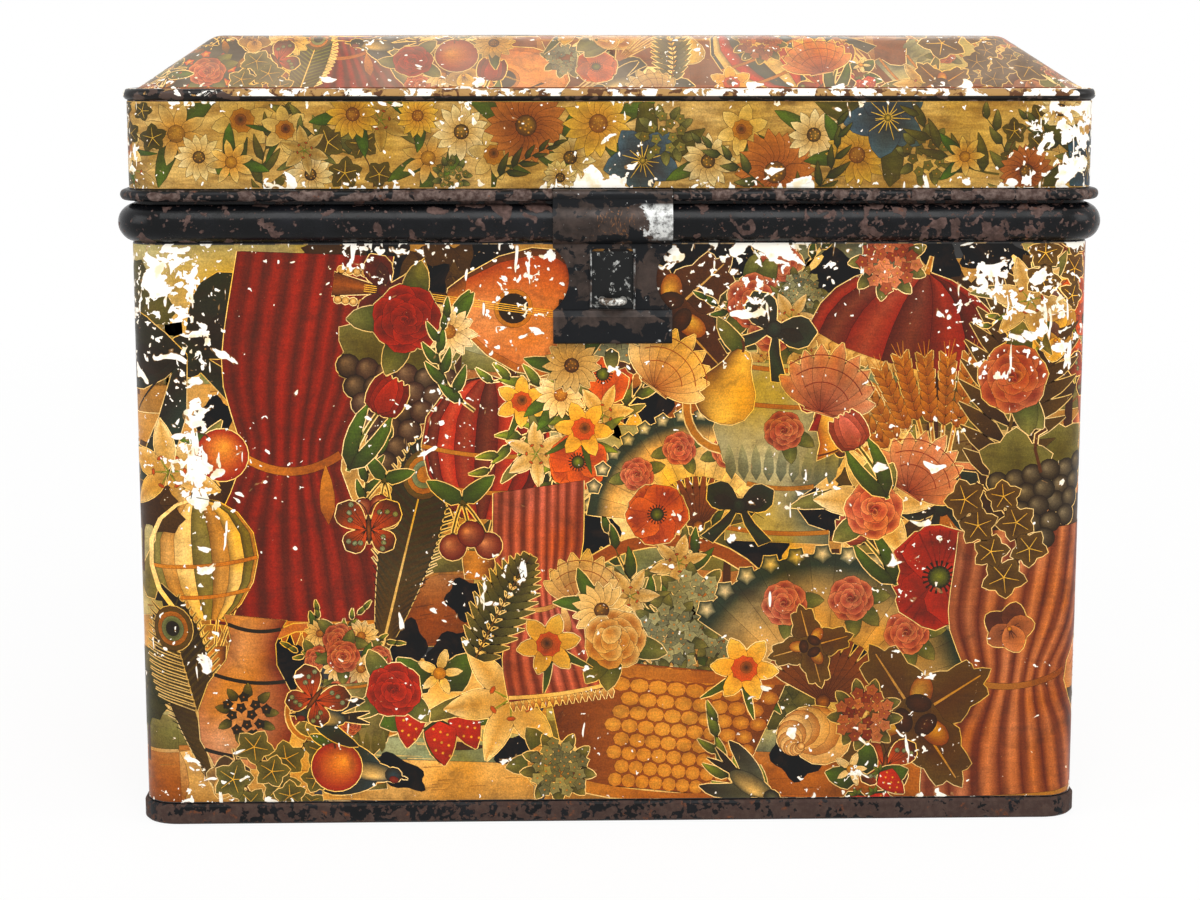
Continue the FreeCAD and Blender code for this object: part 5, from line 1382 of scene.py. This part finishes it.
def rolled_lip(name, settings):
    """Japanned tin of the lid with the covering paper torn along its rolled lip, gone to bare tin at one end."""
    material, add, place = begin(name)
    x, y, z = add("SeparateXYZ", place).node.outputs
    # the outside of the lip, and never the inside of the lid
    out = add("Math MAXIMUM", add("Math SUBTRACT", add("Math ABSOLUTE", x), 0.2312),
        add("Math SUBTRACT", add("Math ABSOLUTE", y), 0.1662))
    outside = add("Math MAXIMUM", add("MapRange", out, 0.0, 0.0001), add("MapRange", z, 0.3584, 0.3586))
    facing = add("SeparateXYZ", add("TexCoord").node.outputs["Normal"]).node.outputs["Z"]
    outside = add("Math MULTIPLY", outside, add("MapRange", facing, -0.3, -0.2))
    held = mottle(add, place, 10, 9.0, 0.66, 0.6, moved=0.1)
    held = add("Math ADD", add("MapRange", x, -0.186, -0.166, 0.0, 0.2), held)
    covered = add("Math MULTIPLY", add("MapRange", held, 0.55, 0.562), outside)
    dark = mottle(add, place, 9, 4.0, 0.55, cut=(0.56, 0.58))
    dark = add("Mix RGBA", dark, shade("#14110f"), shade("#4a3a33"))
    tan = mottle(add, place, 5, 7.0, 0.6, 0.5, moved=0.85, cut=(0.52, 0.56))
    paper = add("Mix RGBA", tan, shade("#a9824d"), shade("#5c3a22"))
    pale = mottle(add, place, 8, 6.0, 0.55, 0.5, moved=0.45, cut=(0.5, 0.515))
    paper = add("Mix RGBA", pale, paper, settings.backing[:])
    height = add("Math ADD", covered, mottle(add, place, 2.0, 5.0))
    shader = add("BsdfPrincipled", add("Mix RGBA", covered, dark, paper),
        Roughness=add("Math MULTIPLY_ADD", covered, 0.3, 0.32), Specular_IOR_Level=0.2,
        Normal=add("Bump", 0.4, 0.15 * MM, Height=height))
    add("OutputMaterial", shader)
    return material


def dress(material, *names):
    """Gives a finish to CAD nodes."""
    for name in names:
        for slot in NODES[name].material_slots:
            slot.material = material


def flat_print(add, place):
    """The inks of the cut-outs, carried by each sheet's own colours."""
    return add("Attribute", attribute_name="print")


def tan_paper(add, place):
    """The lid band's wallpaper between its flowers, streaked along."""
    streaks = mottle(add, place, 6, 6.0, 0.6, stretch=(0.25, 0.25, 1.0), cut=(0.35, 0.65))
    return add("Mix RGBA", streaks, shade("#d6c198"), shade("#b09668"))


def brown_paper(add, place):
    """The lid top's ground between its cut-outs, clouded."""
    clouds = mottle(add, place, 26, 4.0, 0.6, cut=(0.4, 0.6))
    return add("Mix RGBA", clouds, shade("#a97f4c"), shade("#7c4e33"))


# Pieces

# Outer faces of the paper skins in millimetres: half width, half depth and radius of the upright corners
BODY_PAPER = (230.25, 165.25, 16.25)
BAND_PAPER = (231.25, 166.25, 17.25)
# Their lower and upper edges, and how far the first cut-outs lie above them and above the lid's top
BODY_EDGES = (11, 285.2)
BAND_EDGES = (312.4, 352.5)
FIRST_ON_WALL, FIRST_ON_TOP = 0.06, 0.03


# The japanned finishes: name, look and the nodes that have it
JAPANS = (
    ("japanned_tin_sheet", dict(wear=0.05, gloss=0.24), ("body_front_wrap", "body_back_sheet")),
    ("japanned_swaged_rim", dict(wear=0.2, gloss=0.16, patch=9.0), ("rim_collar",)),
    ("japanned_wired_edge", dict(wear=0.62, gloss=0.3, lighter=shade("#77665f"), bared=0.3118),
     ("lid_band", "lid_edge_wire")),
    ("japanned_folded_foot", dict(wear=0.85, gloss=0.34, lighter=shade("#4d3d36"), patch=7.0), ("body_floor_pan",)),
    ("japanned_iron_fittings", dict(wear=0.55, gloss=0.3, patch=6.0),
     [name for name in NODES if name.startswith(("hinge_", "handle_clips", "handle_rivets"))]),
    ("rubbed_iron_wire", dict(wear=0.9, gloss=0.3, lighter=shade("#857a72"), patch=7.0),
     ("handle_bail_right", "handle_bail_left")),
)


class BOX_OT_metal(bpy.types.Operator):
    """Finishes the japanned sheets, the swaged rim, the lid's wired edge, the foot and the fittings"""

    bl_idname = "box.metal"
    bl_label = "Metal"

    def execute(self, context):
        settings = context.scene.box_finish
        for name, look, nodes in JAPANS:
            dress(japan(name, settings, **look), *nodes)
        dress(rolled_lip("torn_paper_over_rolled_lip", settings), "lid_top_panel")
        # both staple parts: pale spots of bare tin that also stand as painted glints
        dress(rubbed_tin_and_glints("rubbed_staple_wire", "#57493d", "#e2e0d8", 0.22), "hasp_staple")
        dress(worn_iron("worn_painted_iron"), "hasp_plate")
        dress(rubbed_tin_and_glints("flaked_staple_plate", "#050606", "#b4b5b1", 0.075), "staple_plate")
        return {"FINISHED"}


class BOX_OT_paper(bpy.types.Operator):
    """Finishes the ground paper of the body, the lid's band and the lid's top"""

    bl_idname = "box.paper"
    bl_label = "Ground paper"

    def execute(self, context):
        settings = context.scene.box_finish
        dress(ground("pasted_ground_on_tin", settings), "body_paper")
        dress(printed_paper("tan_wallpaper", settings, tan_paper, 0.16, shade(COOL_VARNISH), 1.6), "lid_band_paper")
        dress(printed_paper("brown_ground_paper", settings, brown_paper), "lid_top_paper")
        return {"FINISHED"}


# The large cut-outs of the front: place across and up in millimetres, turn in degrees, tone, motif and its look

FRONT_VIEWS = (
    (-192, 240, 2, 0.85, view, 120, 104, "lake", ("mist", "cream"), "sand"),
    (-88, 238, -3, 0.8, view, 120, 106, "woods", ("sand", "cream"), "honey"),
    (14, 240, 2, 0.8, view, 110, 100, "cottage", ("tan", "sand"), "ochre"),
    (112, 238, -2, 0.85, view, 112, 104, "lake", ("slate", "mist"), "tan"),
    (188, 214, 1, 0.75, view, 98, 128, "woods", ("sand", "paper"), "bronze", "sage"),
    (-200, 142, -2, 0.9, view, 96, 100, "woods", ("cream", "sand"), "tan", "tan"),
    (-112, 140, 3, 0.8, view, 110, 104, "cottage", ("sand", "tan"), "honey"),
    (-10, 146, -1, 0.85, view, 116, 104, "lake", ("mist", "paper"), "sage"),
    (96, 140, 2, 0.85, view, 118, 104, "cottage", ("cream", "sand"), "ochre"),
    (200, 122, -3, 0.8, view, 98, 110, "woods", ("blush", "cream"), "brown", "rose"),
    (-196, 54, 1, 0.85, view, 104, 92, "cottage", ("tan", "honey"), "sand"),
    (-88, 46, -2, 0.95, view, 108, 72, "lake", ("sand", "cream"), "sand"),
    (20, 50, 2, 0.85, view, 112, 78, "woods", ("tan", "sand"), "tan"),
    (122, 48, -2, 0.9, view, 112, 76, "lake", ("mist", "cream"), "ochre"),
    (208, 48, 2, 0.8, view, 84, 78, "cottage", ("blush", "sand"), "blush"),
)

FRONT_LARGE = (
    (-204, 232, 20, 0.8, bow_knot, 104, "teal", "navy"),
    (-214, 176, 10, 0.95, lily, 52),
    (-146, 190, -2, 0.95, curtain, 74, 182, "red", "crimson"),
    (-72, 258, 82, 0.9, mandolin, 124, "orange", "brown"),
    (-106, 206, -8, 0.8, grapes, 70, "plum", "black"),
    (-100, 138, -14, 0.8, plume, 124, "gold", "teal", "navy"),
    (-198, 120, 4, 0.95, balloon, 86, ("cream", "sage", "tan")),
    (-62, 172, -4, 0.85, balloon, 100, ("red", "crimson", "scarlet")),
    (-14, 196, 0, 1.0, bouquet, 96, (daffodil, daisy, poppy, lily)),
    (28, 252, 20, 0.8, oak, 70, "brown", "umber"),
    (36, 172, 14, 0.95, fan, 88, "cream", "straw", "teal"),
    (84, 214, -3, 0.8, urn, 148, "mist", "slate", "gold", (posy, rose, lily)),
    (140, 226, -14, 0.85, parasol, 104, ("red", "crimson")),
    (156, 172, 16, 0.8, wheat, 112),
    (128, 160, 30, 0.95, lily, 60),
    (196, 226, -8, 0.75, fern, 110, "bronze", "umber"),
    (216, 252, 40, 0.95, bouquet, 66, (poppy, daffodil, pansy)),
    (26, 78, -6, 0.85, basket, 132, "straw", "honey", (posy, lily, posy)),
    (112, 92, -14, 0.85, fan, 120, "sand", "slate", "teal"),
    (160, 122, 0, 0.85, poppy, 56, "scarlet", "red", "crimson"),
    (204, 78, 3, 0.8, curtain, 78, 136, "blush", "brick", "tan"),
    (212, 158, 12, 0.85, grapes, 64, "navy", "black"),
    (-206, 66, 14, 0.7, plume, 112, "navy", "olive", "navy"),
    (-178, 66, -6, 0.8, jug, 76, "blush", "brick", "navy"),
    (-130, 62, 4, 0.85, urn, 92, "sage", "olive", "gold", (rose, daisy)),
    (-86, 60, 6, 0.9, berries, 60),
    (-50, 62, 40, 1.0, lily, 66),
    (-30, 116, 8, 0.9, curtain, 44, 104, "pink", "brick", "cream"),
    (150, 52, 10, 0.75, oak, 76, "bronze", "brown"),
    (92, 38, 20, 0.9, nautilus, 50, "cream", "honey"),
)

# What fills the gaps between them, from the left of the front to its right, and over the rest of the box

SMALL_REDS = ((rose, 30, "scarlet", "red", "crimson"), (pansy, 24, "navy", "sand"), (butterfly, 34), (cherries, 32),
              (daisy, 26), (leaf_spray, 50), (tulip, 48, "scarlet", "crimson"), (ivy, 54), (swallow, 46), (apple, 30))
SMALL_GOLDS = ((daffodil, 32), (posy, 36), (daisy, 28, 15, "sand", "cream", "brown"),
               (leaf_spray, 54, 9, "pine", "lime"), (rose, 28, "cream", "straw", "honey"), (pear, 36),
               (scallop, 32, "cream", "honey"), (fern, 60), (bow_knot, 40), (poppy, 34),
               (swallow, 44, "slate", "navy"))
SMALL_PINKS = ((rose, 32), (scallop, 36), (oak, 40), (lily, 36), (butterfly, 36), (ivy, 50, 7, "umber", "bronze"),
               (bell, 32), (pansy, 26, "plum", "blush"), (tulip, 44, "pink", "brick"), (berries, 36),
               (posy, 32, "blush", "brick"))
LARGE = ((basket, 116), (urn, 136), (curtain, 72, 150, "red", "crimson"), (parasol, 104), (mandolin, 126), (fan, 104),
         (bouquet, 88, (rose, daisy, lily)), (balloon, 100), (plume, 120), (wheat, 104), (cushion, 78), (jug, 78),
         (horseshoe, 66), (grapes, 72), (curtain, 60, 130, "blush", "brick", "cream"), (nautilus, 56))


def lay_out(sheet, places):
    """Pastes cut-outs at their places."""
    for k, (x, y, turn, tone, kind, *look) in enumerate(places):
        sheet.paste(kind(*look, seed=k + 1), x, y, angle=math.radians(turn), tone=tone)


def open_gaps(sheet, rng, count, low, high, first):
    """Opens wavy gaps onto the black tin: over the layers before the first large cut-out, under all after it."""
    covered_by = sheet.layers[first].start
    for k in range(count):
        x, y = sheet.barest(rng, low, high, 120)
        wide, tall = rng.uniform(7, 17), rng.uniform(7, 15)
        scrap = Scrap()
        scrap.disc(0, 0, wide, "black", "black", tall, lobes=5, depth=0.14, segments=28, cut=False, key=None)
        before, layers = sheet.seen.copy(), len(sheet.layers)
        sheet.paste(scrap, x, y, angle=k * 0.7, age=0.0, tone=0.4)
        sheet.layers.insert(first, sheet.layers.pop(layers))
        covered = before >= covered_by
        sheet.seen[covered] = before[covered]
        corners = np.array([[-1, -1], [1, -1], [1, 1], [-1, 1]]) * (wide + 5, tall + 5) + (x, y)
        sheet.depth[sheet.under(corners)] += 50


def fill(sheet, rng, count, low, high, motifs, sizes=(0.75, 1.15), tilt=0.7, tones=(0.75, 1.0), trimmed=True):
    """Fills the barest spots of a part of the sheet, going through the motifs in turn."""
    order = rng.permutation(len(motifs))
    for k in range(count):
        x, y = sheet.barest(rng, low, high)
        kind, *look = motifs[order[k % len(motifs)]]
        sheet.paste(kind(*look, seed=int(rng.integers(1000))), x, y, rng.uniform(*sizes), rng.uniform(-tilt, tilt),
            bool(rng.integers(2)), 0.12, rng.uniform(*tones), trimmed)


class BOX_OT_body_scraps(bpy.types.Operator):
    """Pastes the cut-outs around the front and both ends of the body"""

    bl_idname = "box.body_scraps"
    bl_label = "Body cut-outs"

    def execute(self, context):
        settings = context.scene.box_finish
        ply, edge = settings.ply / MM, settings.die_edge / MM
        wrap = Wrap(*BODY_PAPER)
        middle, end = wrap.corner_start, wrap.far[-2]
        low, high = BODY_EDGES
        sheet = Collage((-end - 5, low), (end + 5, high), FIRST_ON_WALL, ply, edge)
        rng = np.random.default_rng(settings.seed)
        skies = (("mist", "cream"), ("tan", "sand"), ("sand", "paper"), ("blush", "cream"))
        for side in (-1, 1):
            for k in range(12):
                u, z = side * (middle + 50 + (k % 4) * 92), 240 - (k // 4) * 92
                look = (("lake", "cottage", "woods")[k % 3], skies[(k * 3 + k // 4) % 4],
                    ("tan", "ochre", "sage")[(k + k // 4) % 3])
                sheet.paste(view(122, 104, *look, seed=40 + k), u + rng.uniform(-6, 6), z + rng.uniform(-6, 6),
                    angle=rng.uniform(-0.06, 0.06), tone=rng.uniform(0.75, 0.95))
            low, high = sorted((side * (middle + 34), side * (end - 22)))
            fill(sheet, rng, 16, (low, 44), (high, 256), LARGE, (0.9, 1.1), 0.25)
            fill(sheet, rng, 46, (low - 24, 18), (high + 24, 280), SMALL_REDS + SMALL_GOLDS + SMALL_PINKS)
        lay_out(sheet, FRONT_VIEWS)
        first = len(sheet.layers)
        lay_out(sheet, FRONT_LARGE)
        open_gaps(sheet, rng, 14, (-235, 18), (235, 258), first)
        open_gaps(sheet, rng, 9, (-225, 262), (225, 282), first)
        for low, high, motifs in ((-238, -70, SMALL_REDS), (-70, 90, SMALL_GOLDS), (90, 238, SMALL_PINKS)):
            fill(sheet, rng, 17, (low, 16), (high, 282), motifs, (0.85, 1.2))
        material = printed_paper("varnished_colour_print", settings, flat_print)
        for name, low, high in (("scraps_front_left", -middle, 0), ("scraps_front_right", 0, middle),
                ("scraps_left_end", -np.inf, -middle), ("scraps_right_end", middle, np.inf)):
            paste_up(name, sheet.cut_sheet(low, high), wrap, material, "body")
        return {"FINISHED"}


BAND_FLOWERS = ((daisy, 30, 15, "gold", "lemon", "honey", 2), (ivy, 36, 5, "umber", "olive"),
                (daisy, 36, 22, "rust", "copper", "brown", 2), (leaf_spray, 56, 9, "pine", "olive", 0.3),
                (daisy, 25, 13, "tan", "white", "umber", 1), (clematis, 42), (lily, 34, "tan", "cream"),
                (daisy, 23, 12, "tan", "white", "umber", 1), (leaf_spray, 46, 7, "pine", "sage", 0.42),
                (daffodil, 28, "cream", "sand", "gold"), (posy, 28, "sage", "olive", "lemon", 12),
                (daisy, 30, 8, "straw", "cream", "gold", 2))


class BOX_OT_lid_scraps(bpy.types.Operator):
    """Prints the flowered paper of the lid's band and pastes the cut-outs over its hipped top"""

    bl_idname = "box.lid_scraps"
    bl_label = "Lid cut-outs"

    def execute(self, context):
        settings = context.scene.box_finish
        ply, edge = settings.ply / MM, settings.die_edge / MM
        banded = printed_paper("varnished_flower_print", settings, flat_print, 0.14, shade(COOL_VARNISH), 1.6)
        # the lid top's prints carry a painted sheen: pale haze mixed into their colour in place of a reflection
        glossy = printed_paper("milky_varnished_colour_print", settings, flat_print, painted_sheen=0.3)
        rng = np.random.default_rng(settings.seed + 1)
        wrap = Wrap(*BAND_PAPER)
        end = wrap.far[-1]
        low, high = BAND_EDGES
        sheet = Collage((-end, low), (end, high), FIRST_ON_WALL, ply, edge)
        spots = np.arange(-end + 10, end - 10, 17.0)
        for k, u in enumerate(spots):
            flower, *look = BAND_FLOWERS[(k * 5 + k // 12) % 12]
            sheet.paste(flower(*look, seed=k), u + rng.uniform(-4, 4),
                332 + (8 if k % 2 else -8) + rng.uniform(-5, 5), rng.uniform(0.85, 1.15), rng.uniform(-1.2, 1.2),
                bool(k % 2), 0.2, rng.uniform(0.8, 0.98), False)
        fill(sheet, rng, 70, (-end + 8, 316), (end - 8, 349), BAND_FLOWERS, (0.6, 0.95), 1.5, (0.75, 0.95), False)
        paste_up("printed_flowers_band", sheet.cut_sheet(), wrap, banded, "lid")
        drape = Drape(NODES["lid_top_paper"])
        half = drape.half - 0.6
        sheet = Collage(-half, half, FIRST_ON_TOP, ply * 0.35, edge)
        for k in range(15):
            x, y = (k % 5 - 2) * 92, (k // 5 - 1) * 104
            sky = (("tan", "sand"), ("blush", "cream"), ("mist", "sand"))[k % 3]
            kind = ("cottage", "woods", "lake")[(k * 2 + k // 5) % 3]
            sheet.paste(view(118, 112, kind, sky, "honey", seed=60 + k), x, y, angle=rng.uniform(-0.06, 0.06),
                tone=0.75)
        fill(sheet, rng, 18, -half + 36, half - 36, LARGE, (0.8, 1.05), 0.5)
        front = -half[1] + 30
        fill(sheet, rng, 8, (-half[0] + 20, -half[1] + 8), (half[0] - 20, front), LARGE, (0.6, 0.8), 1.2)
        for low, high, motifs in ((-0.98, -0.2, SMALL_REDS), (-0.4, 0.4, SMALL_GOLDS), (0.3, 0.98, SMALL_PINKS)):
            fill(sheet, rng, 10, (low * half[0], -half[1]), (high * half[0], front), motifs, (0.6, 0.85))
            fill(sheet, rng, 26, (low * half[0], front), (high * half[0], half[1]), motifs)
        paste_up("scraps_lid_top_left", sheet.cut_sheet(-np.inf, 0), drape, glossy, "lid")
        paste_up("scraps_lid_top_right", sheet.cut_sheet(0, np.inf), drape, glossy, "lid")
        return {"FINISHED"}


# Name, place and side in metres, and power in watts
SOFTBOXES = (("softbox_top_front", (0.1, -1.5, 1.9), 1.3, 26), ("softbox_left", (-1.7, -0.9, 0.9), 1.1, 12),
             ("softbox_right", (1.8, -0.8, 1.0), 1.1, 12), ("softbox_back", (0.2, 1.6, 1.8), 1.2, 12))


# Place in metres, lens and sensor width in millimetres, and degrees looked down and to the right
CAMERA = (-0.0383, -1.3516, 0.376)
LENS, SENSOR = 74.55, 36
DOWN, RIGHT = 9.11, 1.56


class BOX_OT_stage(bpy.types.Operator):
    """Sets the white floor, the soft studio light and the camera"""

    bl_idname = "box.stage"
    bl_label = "Stage"

    def execute(self, context):
        scene = context.scene
        scene.view_settings.view_transform = "Standard"
        mesh = bpy.data.meshes.new("floor")
        mesh.from_pydata([(-30, -30, 0), (30, -30, 0), (30, 30, 0), (-30, 30, 0)], [], [(0, 1, 2, 3)])
        floor = bpy.data.objects.new("floor", mesh)
        floor.location.z = -0.0002
        scene.collection.objects.link(floor)
        # matt white paper; most of what the camera and reflections see of it is plain white, so it keeps soft shadows
        paper, add, place = begin("white_paper_sweep")
        away = add("VectorMath LENGTH", place)
        share = add("Math MULTIPLY", seen(add), add("MapRange", away, 0.5, 2.0, 0.9, 1.0))
        matt = add("BsdfDiffuse", shade("#f4f3f1"))
        add("OutputMaterial", add("MixShader", share, matt, add("Emission", WHITE, 1.0)))
        mesh.materials.append(paper)
        world = bpy.data.worlds.new("studio")
        scene.world = world
        add = blank(world)
        strength = add("MapRange", seen(add), To_Min=0.5, To_Max=1.0)
        add("OutputWorld", add("Background", WHITE, strength))
        for name, place, size, power in SOFTBOXES:
            light = bpy.data.lights.new(name, "AREA")
            light.shape, light.size, light.energy = "SQUARE", size, power
            lamp = bpy.data.objects.new(name, light)
            lamp.location = place
            lamp.rotation_euler = (Vector((0, 0, 0.2)) - Vector(place)).to_track_quat("-Z", "Y").to_euler()
            scene.collection.objects.link(lamp)
        camera = bpy.data.cameras.new("camera")
        camera.sensor_width, camera.lens = SENSOR, LENS
        camera.clip_start = 0.05
        viewer = bpy.data.objects.new("camera", camera)
        viewer.location = CAMERA
        viewer.rotation_euler = (math.radians(90 - DOWN), 0, math.radians(-RIGHT))
        scene.collection.objects.link(viewer)
        scene.camera = viewer
        return {"FINISHED"}


OPERATORS = (BOX_OT_stage, BOX_OT_metal, BOX_OT_paper, BOX_OT_body_scraps, BOX_OT_lid_scraps)


class BOX_PT_panel(bpy.types.Panel):
    """Lists the box's settings and the pieces it is made of"""

    bl_label = "Tin box"
    bl_idname = "BOX_PT_panel"
    bl_space_type = "VIEW_3D"
    bl_region_type = "UI"
    bl_category = "Tin box"

    def draw(self, context):
        for name in BoxFinish.__annotations__:
            self.layout.prop(context.scene.box_finish, name)
        for operator in OPERATORS:
            self.layout.operator(operator.bl_idname)


CLASSES = (BoxFinish, *OPERATORS, BOX_PT_panel)


def register():
    for item in CLASSES:
        bpy.utils.register_class(item)
    bpy.types.Scene.box_finish = PointerProperty(type=BoxFinish)


def unregister():
    del bpy.types.Scene.box_finish
    for item in reversed(CLASSES):
        bpy.utils.unregister_class(item)


def main():
    register()
    for operator in OPERATORS:
        group, name = operator.bl_idname.split(".")
        getattr(getattr(bpy.ops, group), name)()


if __name__ == "__main__":
    main()
